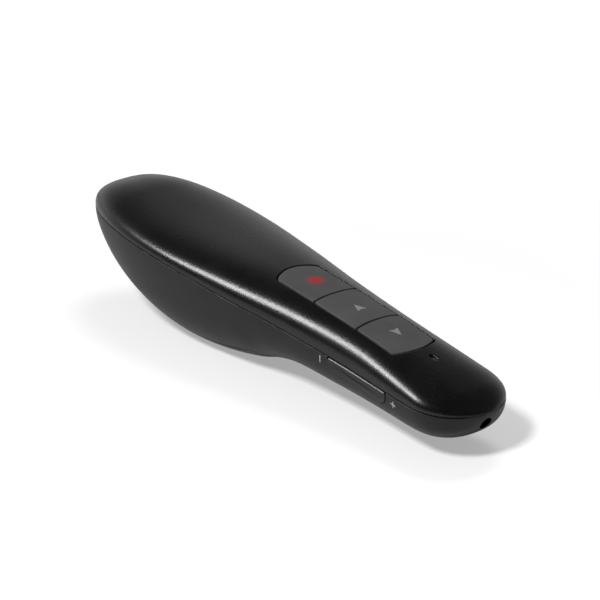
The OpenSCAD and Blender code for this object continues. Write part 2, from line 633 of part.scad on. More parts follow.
// a clip of two ears under the board, open towards the rocker
module rocker_bracket() color("#8b8d92") on_deck() translate([rocker_mid, -pivot_y, 0]) difference() {
    union() {
        box([-bracket_half_l, -0.8, board_bottom - ear_t], [bracket_half_l, 2, board_bottom]);
        box([-bracket_half_l, -0.8, bracket_bottom], [bracket_half_l, 2, bracket_bottom + ear_t]);
        box([-bracket_half_l, 1.2, bracket_bottom], [bracket_half_l, 2, board_bottom]);
    }
    translate([0, 0, bracket_bottom - 1]) cylinder(d = rocker_pin_d, h = board_bottom - bracket_bottom + 2);
}
module rocker_pin() color("silver") on_deck() translate([rocker_mid, -pivot_y, bracket_bottom])
    cylinder(d = rocker_pin_d, h = board_bottom - bracket_bottom);
module side_switch(x) color("#77787c") on_deck() difference() {
    box([x - side_switch_l / 2, -side_switch_y - side_switch_d, board_bottom - side_switch_h],
        [x + side_switch_l / 2, -side_switch_y, board_bottom]);
    along_y(side_plunger_r + slip, x, -side_switch_y - side_switch_d - 1,
        -side_switch_y - side_switch_d + 1.2, side_plunger_z);
}
module side_plunger(x) color("#d8d2c0") on_deck()
    along_y(side_plunger_r, x, -side_switch_y - side_switch_d - side_plunger_out,
        -side_switch_y - side_switch_d + 0.8, side_plunger_z);
module volume_down_switch() side_switch(rocker_mid - side_arm);
module volume_up_switch() side_switch(rocker_mid + side_arm);
module volume_down_plunger() side_plunger(rocker_mid - side_arm);
module volume_up_plunger() side_plunger(rocker_mid + side_arm);

// ---- power slider on the left side ----
lever_root_y = power_can_y - 1.7;
module power_switch() color("#a5a7ab") on_deck() difference() {
    translate([slider_x + knob_travel / 2, power_can_y - power_can_d, board_bottom - power_can_h])
        box([-power_can_l / 2, 0, 0], [power_can_l / 2, power_can_d, power_can_h]);
    box([slider_x - lever_w / 2 - slip, lever_root_y - 0.1, slider_z - lever_w / 2 - slip],
        [slider_x + knob_travel + lever_w / 2 + slip, power_can_y + 1, slider_z + lever_w / 2 + slip]);
}
module power_lever() color("#d8d2c0") on_deck()
    box([slider_x - lever_w / 2, lever_root_y, slider_z - lever_w / 2],
        [slider_x + lever_w / 2, lever_end_y, slider_z + lever_w / 2]);
module power_knob() color("#3c3c3f") on_deck() union() {
    translate([slider_x, pocket_y + slip, slider_z]) rotate([-90, 0, 0]) capsule(knob_l, knob_h, 0, 0.9);
    for (i = [-1, 0, 1]) box([slider_x + 1.2 * i - 0.25, pocket_y + 0.5, slider_z - 1],
        [slider_x + 1.2 * i + 0.25, pocket_y + slip + 1.2, slider_z + 1]);
    box([slider_x - stem_l / 2, lever_end_y, slider_z - stem_h / 2],
        [slider_x + stem_l / 2, pocket_y + 0.5, slider_z + stem_h / 2]);
}

// ---- laser ----
barrel_wall = 0.5;
module laser_barrel() color("#b8954a") difference() {
    along_x(barrel_d / 2, barrel_rear, barrel_front, 0, laser_z);
    along_x(barrel_d / 2 - barrel_wall, barrel_rear - 1, barrel_front - 0.8, 0, laser_z);
    along_x(aperture_d / 2 + 0.2, barrel_front - 1, barrel_front + 1, 0, laser_z);
}
module laser_diode() color("#c9a227") union() {
    along_x(barrel_d / 2 - barrel_wall, barrel_rear, barrel_rear + 1.2, 0, laser_z);
    along_x(barrel_d / 2 - barrel_wall - 0.7, barrel_rear + 1.2, barrel_rear + 3, 0, laser_z);
}
module laser_lens() color("#bcd0d8")
    along_x(barrel_d / 2 - barrel_wall, barrel_front - 2, barrel_front - 0.8, 0, laser_z);
module laser_board() color("#1f6b3f")
    box([barrel_rear - 1, -2.4, laser_z - 2.4], [barrel_rear, 2.4, laser_z + 2.2]);
module laser_pins() color("gold") on_deck() for (y = [-1.5, 0, 1.5])
    box([board_front - 2.5, y - 0.25, board_bottom - 0.4], [pin_end, y + 0.25, board_bottom]);
pin_end = (barrel_rear - 1 - deck_x - (board_bottom - 0.4) * sin(key_tilt)) / cos(key_tilt) - 0.05;
module laser_clamp() color("#3a3a3a") difference() {
    box([cradle_x[0] + 0.5, -cradle_half_w, laser_z],
        [cradle_x[1] - 0.5, cradle_half_w, laser_z + barrel_d / 2 + 0.8]);
    along_x(barrel_d / 2 + touch, cradle_x[0] - cradle_end, cradle_x[1] + cradle_end, 0, laser_z);
}

// ---- batteries ----
module cell(side, facing) color(facing > 0 ? "#c46a2a" : "#b55f25") {
    middle = (cell_rear + cell_front) / 2;
    translate([middle, side * cell_y, cell_z]) rotate([0, 90 * facing, 0]) union() {
        translate([0, 0, -cell_l / 2]) cylinder(d = cell_d, h = cell_l - 1);
        translate([0, 0, cell_l / 2 - 1.1]) cylinder(r = 1.9, h = 1.1);
    }
}
module battery_left() cell(1, 1);
module battery_right() cell(-1, -1);
spring_r = 2.2;
spring_wire_r = 0.25;
spring_turns = 4;
spring_steps = 14;
spring_sides = 6;
// a helix along X from x0 to x1, swept by a round wire
module coil(x0, x1) {
    count = spring_turns * spring_steps;
    pitch = (x1 - x0 - 2 * spring_wire_r) / count;
    points = [for (i = [0:count]) for (k = [0:spring_sides - 1])
        let (a = 360 * i / spring_steps, b = 360 * k / spring_sides, r = spring_r + spring_wire_r * cos(b))
        [x0 + spring_wire_r + pitch * i + spring_wire_r * sin(b), r * cos(a), r * sin(a)]];
    function at(i, k) = i * spring_sides + k % spring_sides;
    polyhedron(points, concat(
        [[for (k = [0:spring_sides - 1]) at(0, k)], [for (k = [spring_sides - 1:-1:0]) at(count, k)]],
        [for (i = [0:count - 1]) for (k = [0:spring_sides - 1]) each
            quad(at(i, k), at(i + 1, k), at(i + 1, k + 1), at(i, k + 1))]));
}
module battery_springs() color("silver") for (side = [-1, 1])
    translate([0, side * cell_y, cell_z]) coil(bay_rear + contact_t, cell_rear);
module rear_contacts() color("silver") for (side = [-1, 1]) sided(side)
    box([bay_rear, 2.3, cell_z - 1.3], [bay_rear + contact_t, 8.3, cell_z + 4]);
module front_link() color("silver") union() {
    box([bay_front - link_t, -8.5, cell_z - 2.4], [bay_front, 8.5, cell_z + 3]);
    for (side = [-1, 1]) along_x(1.5, cell_front, bay_front - link_t / 2, side * cell_y, cell_z);
}

// ---- receiver stored in the rear end ----
cap_proud = 0.4;
module whole_body(inset) {
    row = 2 * steps;
    function at(i, j) = i == 0 ? 0 : i == stations ? 1 : 2 + (i - 1) * row + j % row;
    polyhedron(
        concat([for (side = [-1, 1]) end_point(side, inset)],
            [for (i = [1:stations - 1]) for (j = [0:row - 1]) skin_in(station(i), 180 * j / steps, inset)]),
        [for (i = [0:stations - 1]) for (j = [0:row - 1]) each
            quad(at(i, j), at(i + 1, j), at(i + 1, j + 1), at(i, j + 1))]);
}
module receiver_cap() color("#1e1e20") intersection() {
    box([rear - 2, -cap_w / 2, receiver_z - cap_h / 2], [plug_rear, cap_w / 2, receiver_z + cap_h / 2]);
    whole_body(-cap_proud);
}
plug_wall = 0.3;
plug_root = 0.5;      // thickness of the plug's closed end
module receiver_plug() color("silver") difference() {
    box([plug_rear, -plug_w / 2, receiver_z - plug_h / 2], [plug_front, plug_w / 2, receiver_z + plug_h / 2]);
    box([plug_rear + plug_root, -plug_w / 2 + plug_wall, receiver_z - plug_h / 2 + plug_wall],
        [plug_front + 1, plug_w / 2 - plug_wall, receiver_z + plug_h / 2 - plug_wall]);
}
// the insulating tongue inside the plug, with four contacts on its face
plug_tongue_t = 1.9;
plug_inner_z = receiver_z + plug_h / 2 - plug_wall;
module receiver_tongue() color("#e8e8e4")
    box([plug_rear + plug_root, -plug_w / 2 + plug_wall, plug_inner_z - plug_tongue_t],
        [plug_front - 0.6, plug_w / 2 - plug_wall, plug_inner_z]);
pin_y = [-3.5, -1, 1, 3.5];
pin_root = 1.5;
module receiver_pins() color("gold") for (y = pin_y) translate([0, y, plug_inner_z - plug_tongue_t])
    box([plug_rear + pin_root, -0.5, -0.15], [plug_front - 1.2, 0.5, 0]);

top_cover();
lower_shell();
battery_door();
chassis();
chassis_screws();
board_screws();
main_board();
radio_chip();
crystal_can();
chip_parts();
status_led();
light_pipe();
laser_key();
page_back_key();
page_forward_key();
key_mat();
laser_key_switch();
page_back_switch();
page_forward_switch();
laser_key_plunger();
page_back_plunger();
page_forward_plunger();
volume_rocker();
rocker_bracket();
rocker_pin();
volume_down_switch();
volume_up_switch();
volume_down_plunger();
volume_up_plunger();
power_switch();
power_lever();
power_knob();
laser_barrel();
laser_diode();
laser_lens();
laser_board();
laser_pins();
laser_clamp();
battery_left();
battery_right();
battery_springs();
rear_contacts();
front_link();
receiver_cap();
receiver_plug();
receiver_tongue();
receiver_pins();
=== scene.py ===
"""Looks of a hand-held wireless presenter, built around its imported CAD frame.

Sizes are in millimetres until a mesh is made. +X points to the laser end, +Y to the
left, +Z up; the presenter rests on z = 0.
"""
import math

import bmesh
import bpy
import numpy as np
from mathutils import Matrix, Vector


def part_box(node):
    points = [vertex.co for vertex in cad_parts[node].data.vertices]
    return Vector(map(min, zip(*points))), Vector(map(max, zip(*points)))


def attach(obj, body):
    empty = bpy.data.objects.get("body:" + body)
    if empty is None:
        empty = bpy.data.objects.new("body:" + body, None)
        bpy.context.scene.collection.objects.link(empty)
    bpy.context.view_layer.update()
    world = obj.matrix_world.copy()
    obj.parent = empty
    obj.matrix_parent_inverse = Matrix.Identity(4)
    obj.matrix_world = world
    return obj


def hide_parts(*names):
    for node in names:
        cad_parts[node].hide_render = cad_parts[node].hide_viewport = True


MM = 0.001
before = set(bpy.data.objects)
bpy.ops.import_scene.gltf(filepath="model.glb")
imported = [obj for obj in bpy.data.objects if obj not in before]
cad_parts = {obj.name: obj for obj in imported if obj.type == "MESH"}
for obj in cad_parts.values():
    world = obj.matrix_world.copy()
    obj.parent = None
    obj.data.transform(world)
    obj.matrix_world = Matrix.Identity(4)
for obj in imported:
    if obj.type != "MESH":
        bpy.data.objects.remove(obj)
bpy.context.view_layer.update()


def span(node):
    """Lowest and highest corner of a CAD node, in millimetres."""
    low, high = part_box(node)
    return np.array(low) / MM, np.array(high) / MM


# ---- driving sizes ----
shell_low, shell_high = span("lower_shell")
BODY_L = round(shell_high[0] - shell_low[0], 2)
BODY_W = 35.15
NOSE, REAR = BODY_L / 2, -BODY_L / 2
WALL, WALL_FADE, THIN_WALL = 1.8, 9.0, 0.06    # over its fade the wall thins to a share of itself
COVER_POWER, SHELL_POWER = 2.65, 2.3           # of the half sections' superellipses
SEAM_GAP, RIM_CLIMB, RIM_FADE = 0.24, 0.3, 4.0
EDGE_R = 0.18                                  # rounding of the moulded edges

# curves along the body at fractions of its length
PLAN = [(0, .778), (.15, .969), (.3, 1), (.45, .903), (.6, .758), (.75, .674), (.9, .693),
        (1, .704)]
TOP = [(0, 32.8), (.25, 28.6), (.5, 25.85), (.75, 22.2), (.9, 18.2), (1, 14.5)]
SEAM = [(0, 24.5), (.05, 24.9), (.15, 24.8), (.3, 22.9), (.5, 19.3), (.75, 14.9), (.9, 13),
        (1, 12.5)]
KEEL = [(0, 10), (.12, 2.7), (.25, -.2), (.38, -.1), (.48, 2), (.54, 4.5), (.6, 5.7), (.7, 5),
        (.85, 3.9), (1, 2.3)]

KEY_HALF_W, KEY_PITCH, LASER_KEY_L, KEY_GAP, DIVIDER_GAP = 6.3, 15.2, 13.6, 0.38, 0.5
REAR_BOW, DIVIDER_BOW, FRONT_BOW, FRONT_INSET = 2.4, 0.35, 1.6, 2.5
OUTER_PULL, INNER_PULL = (0.5, 1.4), (0.3, 0.5)   # depth and width of a key corner's rounding
FLANGE_TOP, FLANGE_T, FLANGE_OUT = -3.4, 0.6, 0.8
DECK_X, DECK_TILT = NOSE - 45, math.radians(7)

ROCKER_X, ROCKER_L, ROCKER_H, ROCKER_GAP = NOSE - 31, 20.0, 3.6, 0.1
ROCKER_TOP_R, ROCKER_LOW_R, ROCKER_PROUD, ROCKER_INNER_Y = 0.6, 2.6, 0.15, 9.81
ROCKER_TOP_GAP, ROCKER_TOP_BEVEL, ROCKER_SIDE_BEVEL, ROCKER_BEVEL_DEPTH = 0.18, 0.26, 0.08, 0.3
ROCKER_HOLE_R, ROCKER_WELL_Y, ROCKER_DRAW_IN = 0.07, -8.5, 0.12
LUG_X, LUG_HALF_L, LUG_OVERLAP, LUG_INNER_Y, LUG_Z = 15.305, 1.3, 0.4, 7.4, (-10.65, -9.75)

DOOR_X, DOOR_HALF_W, DOOR_CORNER, DOOR_GAP = (-47.3, 1.0), 10.6, 3.0, 0.15
GRIP_L, GRIP_W, GRIP_FIRST, GRIP_PITCH, GRIPS, LEDGE_LIP = 10, 1.2, 2.5, 2, 3, 0.7
TONGUE_HALF_W, TONGUE_REACH, TONGUE_T, TONGUE_ROOT, TONGUE_ROOM = 3.0, 2.2, 0.8, 1.4, 0.35
LASER_Z = float((span("laser_barrel")[0][2] + span("laser_barrel")[1][2]) / 2)
APERTURE_R, APERTURE_DEPTH, MOUTH_FLARE = 1.5, 7, 0.3
LED_X, LED_Y, LED_L, LED_W = NOSE - 18.9, 0.6, 2.8, 1.1
KNOB_X, KNOB_Z, KNOB_L, KNOB_H, POCKET_Y, TRAVEL = 2.0, -11.5, 6.0, 2.8, 10.9, 2.0
KNOB_T, RIB_L, RIB_W, RIB_PITCH = 0.95, 2.0, 0.5, 1.2
STEM_L, STEM_W, STEM_SLOT_Y, STEM_INNER_Y = 3.3, 1.8, (6.5, 11.5), 9.35
POCKET_ROOM = 0.6, 0.4
BAND_X = -15, -6
CUT_DEPTH, DOOR_CUT_Z, CUT_OVER, SIDE_OVER = 9, 12, 3, 4   # cutters' reach inwards and past the form


# ---- the body's form ----
def curve(knots, u):
    """Cubic through the knots: each knot's slope is that of the line between its neighbours."""
    k = np.array(knots, float)
    slope = np.gradient(k[:, 1]) / np.gradient(k[:, 0])
    i = np.clip(np.searchsorted(k[:, 0], u, side="right") - 1, 0, len(k) - 2)
    h = k[i + 1, 0] - k[i, 0]
    t = (u - k[i, 0]) / h
    return ((2 * t**3 - 3 * t**2 + 1) * k[i, 1] + (t**3 - 2 * t**2 + t) * h * slope[i]
            + (3 * t**2 - 2 * t**3) * k[i + 1, 1] + (t**3 - t**2) * h * slope[i + 1])


def rounding(u, rear, rear_power, nose, nose_power):
    """1 along the middle, falling to 0 at both ends like a superellipse.

    u is the place along the body, rear and nose the lengths of the ends, all as shares.
    """
    a = np.clip(1 - u / rear, 0, 1) ** rear_power
    b = np.clip(1 - (1 - u) / nose, 0, 1) ** nose_power
    return (1 - a) ** (1 / rear_power) * (1 - b) ** (1 / nose_power)


def sizes(x):
    """Half width, seam height, rise of the cover over the seam and drop of the shell below it."""
    u = np.clip((x - REAR) / BODY_L, 0, 1)
    seam = curve(SEAM, u)
    width = BODY_W / 2 * curve(PLAN, u) * rounding(u, 0.336, 3.2, 0.086, 2)
    rise = (curve(TOP, u) - seam) * rounding(u, 0.129, 2, 0.046, 2)
    drop = (seam - curve(KEEL, u)) * rounding(u, 0.379, 2.15, 0.125, 2)
    return width, seam, rise, drop


def skin(x, v):
    """Superellipse section at x: |y/w|^n + |z/h|^n = 1 at the polar angle v, n by half."""
    x, v = np.broadcast_arrays(np.asarray(x, float), np.asarray(v, float))
    width, seam, rise, drop = sizes(x)
    c, s = np.cos(v), np.sin(v)
    n = np.where(s > 0, COVER_POWER, SHELL_POWER)
    r = (np.abs(c) ** n + np.abs(s) ** n) ** (-1 / n)
    return np.stack([x, width * r * c, seam + np.where(s > 0, rise, drop) * r * s], -1)


def level(p):
    """The section's own superellipse radius at points p: 1 on the skin, less inside."""
    width, seam, rise, drop = sizes(np.clip(p[..., 0], REAR, NOSE))
    up = p[..., 2] > seam
    n = np.where(up, COVER_POWER, SHELL_POWER)
    a = np.abs(p[..., 1]) / np.maximum(width, 1e-6)
    b = np.abs(p[..., 2] - seam) / np.maximum(np.where(up, rise, drop), 1e-6)
    return (a**n + b**n) ** (1 / n)


def level_normal(p, h=0.002):
    """Outward direction at p: the gradient of level() by central differences."""
    p = np.array(p, float)
    p[..., 0] = np.clip(p[..., 0], REAR + 2 * h, NOSE - 2 * h)
    g = np.stack([level(p + d) - level(p - d) for d in np.eye(3) * h], -1)
    return g / np.maximum(np.linalg.norm(g, axis=-1, keepdims=True), 1e-12)


def top_height(x, y):
    """Height of the cover over a point of the plan."""
    width, seam, rise, _ = sizes(x)
    t = np.clip(np.abs(y) / np.maximum(width, 1e-6), 0, 1)
    return seam + rise * (1 - t**COVER_POWER) ** (1 / COVER_POWER)


def keel_height(x, y):
    """Height of the underside under a point of the plan, flat where it touches the table."""
    width, seam, _, drop = sizes(x)
    t = np.clip(np.abs(y) / np.maximum(width, 1e-6), 0, 1)
    return np.maximum(seam - drop * (1 - t**SHELL_POWER) ** (1 / SHELL_POWER), 0)


def side_width(x, z):
    """Half width of the lower shell at a height."""
    width, seam, _, drop = sizes(x)
    t = np.clip((seam - z) / np.maximum(drop, 1e-6), 0, 1)
    return width * (1 - t**SHELL_POWER) ** (1 / SHELL_POWER)


def end_x(y, z, side):
    """x of the skin over (y, z), by bisection of level() = 1.

    Side -1 is the rear end and side 1 the nose.
    """
    y, z = np.broadcast_arrays(np.asarray(y, float), np.asarray(z, float))
    inner = np.full(y.shape, side * (NOSE - 30))
    outer = np.full(y.shape, side * NOSE)
    for _ in range(40):
        mid = (inner + outer) / 2
        inside = level(np.stack([mid, y, z], -1)) < 1
        inner, outer = np.where(inside, mid, inner), np.where(inside, outer, mid)
    return inner


DECK_Z = float(top_height(DECK_X, 0.0))
COS, SIN = math.cos(DECK_TILT), math.sin(DECK_TILT)


def from_deck(x, y, z):
    """Points of the leaning key deck in the body's frame: a turn about y, then a shift."""
    turned = np.broadcast_arrays(DECK_X + x * COS + z * SIN, y, DECK_Z - x * SIN + z * COS)
    return np.stack(turned, -1)


def deck_top(x, y):
    """Height of the cover over the deck plane, along the deck's normal, in five corrections."""
    z = np.zeros(np.broadcast(x, y).shape)
    for _ in range(5):
        p = from_deck(x, y, z)
        z = z + (top_height(p[..., 0], p[..., 1]) - p[..., 2]) / COS
    return z


# ---- meshes ----
def piece(name, *shapes):
    """One object of these shapes, points in millimetres; doubles merged and faces turned outwards."""
    start = np.cumsum([0] + [len(points) for points, _ in shapes])
    faces = [tuple(int(i) + int(first) for i in face)
             for first, (_, some) in zip(start, shapes) for face in some]
    mesh = bpy.data.meshes.new(name)
    mesh.from_pydata(np.vstack([points for points, _ in shapes]) * MM, [], faces)
    body = bmesh.new()
    body.from_mesh(mesh)
    bmesh.ops.remove_doubles(body, verts=body.verts, dist=1e-8)
    bmesh.ops.dissolve_degenerate(body, edges=body.edges, dist=1e-8)
    bmesh.ops.recalc_face_normals(body, faces=body.faces)
    body.to_mesh(mesh)
    body.free()
    obj = bpy.data.objects.new(name, mesh)
    bpy.context.scene.collection.objects.link(obj)
    return obj


def loft(rings, caps=True):
    """Rings (k, n, 3) joined into a closed shape; each end is a fan to its ring's centre.

    Without caps the first and last rings have no width.
    """
    rings = np.asarray(rings, float)
    k, n = rings.shape[:2]
    i, j = np.meshgrid(np.arange(k - 1), np.arange(n), indexing="ij")
    a, b = i * n + j, i * n + (j + 1) % n
    faces = np.stack([a, b, b + n, a + n], -1).reshape(-1, 4).tolist()
    points = rings.reshape(-1, 3)
    if caps:
        points = np.vstack([points, rings[0].mean(0), rings[-1].mean(0)])
        j, turn = np.arange(n), (np.arange(n) + 1) % n
        faces += np.stack([turn, j, np.full(n, k * n)], -1).tolist()
        faces += np.stack([(k - 1) * n + j, (k - 1) * n + turn, np.full(n, k * n + 1)], -1).tolist()
    return points, faces


def along_body(count):
    """Stations along the body, close together at the blunt rear end and at the nose."""
    t = np.linspace(0, 1, count + 1)
    return REAR + BODY_L * (1 - np.cos(math.pi * t**1.5)) / 2


FILLET = np.linspace(0, math.pi / 2, 5)


def half_shell(name, start, count=210, steps=96):
    """The cover (start 0) or the lower shell (start pi): a wall carried round half a section.

    Each station's ring runs round the outside at the skin, over a rounded rim, and back
    along the inside, which lies one wall deep and less towards the two ends. The rims
    climb inwards, the shell's past the seam, so that nothing shows through the gap.
    """
    x = along_body(count)[:, None]
    width, seam, rise, drop = sizes(x)
    up = 1 if start == 0 else -1
    height = rise if up > 0 else drop
    radius = np.minimum(EDGE_R, height / 4)
    lift = np.minimum(SEAM_GAP / 2, height / 8)
    rim = np.arctan2(radius + lift, np.maximum(height, 1e-9))
    v = np.linspace(0, 1, steps + 1)[None]
    v = start + rim + (math.pi - 2 * rim) * v
    outside = skin(x, v)
    from_end = np.minimum(x - REAR, NOSE - x)
    inner_wall = WALL * np.clip(from_end / WALL_FADE, THIN_WALL, 1)
    inside = outside - inner_wall[..., None] * level_normal(outside)
    ends = ((x <= REAR) | (x >= NOSE))[..., None]
    end_way = np.sign(x)[..., None] * np.array([1, 0, 0])
    inside = np.where(ends, outside - end_way * inner_wall[..., None], inside)
    rims = []
    for angle, nudge in ((start, 1e-4), (start + math.pi, -1e-4)):
        edge = skin(x, np.full_like(x, angle + nudge))
        out = level_normal(skin(x, np.full_like(x, angle)))
        out = np.where(ends, end_way, out)
        out[..., 2] = 0
        out /= np.maximum(np.linalg.norm(out, axis=-1, keepdims=True), 1e-9)
        turn = FILLET[::-1][None]
        depth = radius * (1 - np.cos(turn))
        rise_by = lift + radius * (1 - np.sin(turn))
        arc = np.stack([edge[..., 0] + 0 * depth, edge[..., 1] + 0 * depth, seam + up * rise_by], -1)
        arc -= depth[..., None] * out
        flat = edge - inner_wall[..., None] * out
        climb = RIM_CLIMB * np.clip(from_end / RIM_FADE, 0, 1)
        flat[..., 2] = seam + (lift if up > 0 else 0) + climb
        rims.append(np.concatenate([flat, arc], 1))
    ring = np.concatenate([rims[0], outside, rims[1][:, ::-1], inside[:, ::-1]], 1)
    if up < 0:
        ring[..., 2] = np.maximum(ring[..., 2], 0)
    return piece(name, loft(ring, caps=False))


def carve(obj, cutters, operation="DIFFERENCE"):
    """Cuts the object by closed cutters, which are used up."""
    for cutter in cutters:
        change = obj.modifiers.new("cut", "BOOLEAN")
        change.solver, change.operation, change.object = "MANIFOLD", operation, cutter
    graph = bpy.context.evaluated_depsgraph_get()
    mesh = bpy.data.meshes.new_from_object(obj.evaluated_get(graph))
    obj.modifiers.clear()
    obj.data = mesh
    for cutter in cutters:
        bpy.data.objects.remove(cutter)
    return obj


def smooth(obj, sharp=32, on_skin=False, reach=0.012, facing_within=0.9):
    """Smooth shading with sharp edges above an angle.

    Within reach of the skin the normals are the form's own, where the face looks that way.
    """
    mesh = obj.data
    mesh.shade_smooth()
    mesh.set_sharp_from_angle(angle=math.radians(sharp))
    if on_skin:
        corner = np.zeros((len(mesh.loops), 3), np.float32)
        mesh.corner_normals.foreach_get("vector", corner.ravel())
        place = np.zeros((len(mesh.vertices), 3), np.float32)
        mesh.vertices.foreach_get("co", place.ravel())
        index = np.zeros(len(mesh.loops), np.int32)
        mesh.loops.foreach_get("vertex_index", index)
        facing = np.zeros((len(mesh.polygons), 3), np.float32)
        mesh.polygons.foreach_get("normal", facing.ravel())
        total = np.zeros(len(mesh.polygons), np.int32)
        mesh.polygons.foreach_get("loop_total", total)
        place = place.astype(float) / MM
        normal = level_normal(place)
        _, _, rise, drop = sizes(np.clip(place[:, 0], REAR, NOSE))
        near = np.abs(level(place) - 1) * np.minimum(rise, drop) < reach
        agree = (normal[index] * np.repeat(facing, total, 0)).sum(-1) > facing_within
        use = near[index] & agree & (place[index, 2] > 0.02)
        corner[use] = normal[index][use]
        mesh.normals_split_custom_set(corner.tolist())
    return obj


def dressed(obj, body, paint, slot, *nodes):
    """Gives a piece its material, the body that it rides on and the CAD nodes that it stands for."""
    obj.data.materials.clear()
    obj.data.materials.append(paint)
    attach(obj, body)
    if nodes:
        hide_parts(*nodes)
    return obj


# ---- key outlines on the deck ----
def corner_pull(y, pull):
    """How far a rounded corner is drawn in at y: a quarter ellipse of this depth and width."""
    depth, width = pull
    t = np.clip((np.abs(y) - KEY_HALF_W + width) / width, 0, 1)
    return depth * (1 - np.sqrt(1 - t * t))


def key_edge(k, y, pull):
    """x of edge k of the key group, rear to front: a parabola across y, its corners drawn in.

    pull is the way in which an inner edge's corners go, 1 to the front and -1 to the rear.
    """
    x, bow, sign, outer = [
        (-KEY_PITCH / 2 - LASER_KEY_L, -REAR_BOW, 1, True),
        (-KEY_PITCH / 2, -DIVIDER_BOW, 0, False),
        (KEY_PITCH / 2, -DIVIDER_BOW, 0, False),
        (1.5 * KEY_PITCH - FRONT_INSET, FRONT_BOW, -1, True)][k]
    x = x + bow * (1 - (y / KEY_HALF_W) ** 2)
    if outer:
        return x + sign * corner_pull(y, OUTER_PULL)
    return x + pull * corner_pull(y, INNER_PULL)


def key_outline(k0, k1, grow, rear=None, front=None, across=44, side=20):
    """Closed outline between two edges, grown at the sides, the rear and the front."""
    y = KEY_HALF_W * np.sin(np.linspace(math.pi / 2, -math.pi / 2, across + 1))
    out = y * (1 + grow / KEY_HALF_W)
    first = key_edge(k0, y, 1) - (grow if rear is None else rear)
    last = key_edge(k1, y, -1) + (grow if front is None else front)
    t = np.linspace(0, 1, side + 1)[1:-1]
    near = first[-1] + (last[-1] - first[-1]) * t
    far = last[0] + (first[0] - last[0]) * t
    x = np.concatenate([first, near, last[::-1], far])
    y = np.concatenate([out, np.full(side - 1, out[-1]), out[::-1], np.full(side - 1, out[0])])
    return x, y


def key_ring(outline, depth=None, at=None):
    """The outline laid on the cover `depth` below it, or on the deck at height `at`."""
    x, y = outline
    return from_deck(x, y, deck_top(x, y) - depth if at is None else np.full_like(x, at))


def shrunk(outline, share):
    """The outline drawn in towards its middle."""
    x, y = outline
    return x.mean() + (x - x.mean()) * share, y.mean() + (y - y.mean()) * share


def capsule_outline(length, width, grow=0.0, count=48):
    """A bar with round ends: a circle whose halves are moved apart."""
    a = np.linspace(0, 2 * math.pi, count, endpoint=False) + math.pi / count
    r = width / 2 + grow
    return r * np.cos(a) + np.sign(np.cos(a)) * (length - width) / 2, r * np.sin(a)


def box_outline(half_l, half_w, corner, grow=0.0, count=10):
    """A rectangle with quarter-round corners, four arcs of radius corner + grow."""
    a = np.linspace(0, math.pi / 2, count + 1)
    turns = np.concatenate([a + q * math.pi / 2 for q in range(4)])
    sx = np.repeat([1, -1, -1, 1], count + 1) * (half_l - corner)
    sy = np.repeat([1, 1, -1, -1], count + 1) * (half_w - corner)
    return sx + (corner + grow) * np.cos(turns), sy + (corner + grow) * np.sin(turns)


# ---- shader maths ----
class Value:
    """A socket in a material; arithmetic on it adds the Math nodes."""

    def __init__(self, paint, socket):
        self.paint, self.socket = paint, socket

    def math(self, operation, *others):
        return self.paint.node("ShaderNodeMath", {"operation": operation}, [self, *others])

    def __add__(self, other): return self.math("ADD", other)
    def __radd__(self, other): return self.math("ADD", other)
    def __sub__(self, other): return self.math("SUBTRACT", other)
    def __rsub__(self, other): return self.paint.value(other).math("SUBTRACT", self)
    def __mul__(self, other): return self.math("MULTIPLY", other)
    def __rmul__(self, other): return self.math("MULTIPLY", other)
    def __truediv__(self, other): return self.math("DIVIDE", other)
    def __neg__(self): return self.math("MULTIPLY", -1)

    def low(self, other): return self.math("MINIMUM", other)
    def high(self, other): return self.math("MAXIMUM", other)
    def size(self): return self.math("ABSOLUTE")
    def sine(self): return self.math("SINE")
    def root(self): return self.math("SQRT")


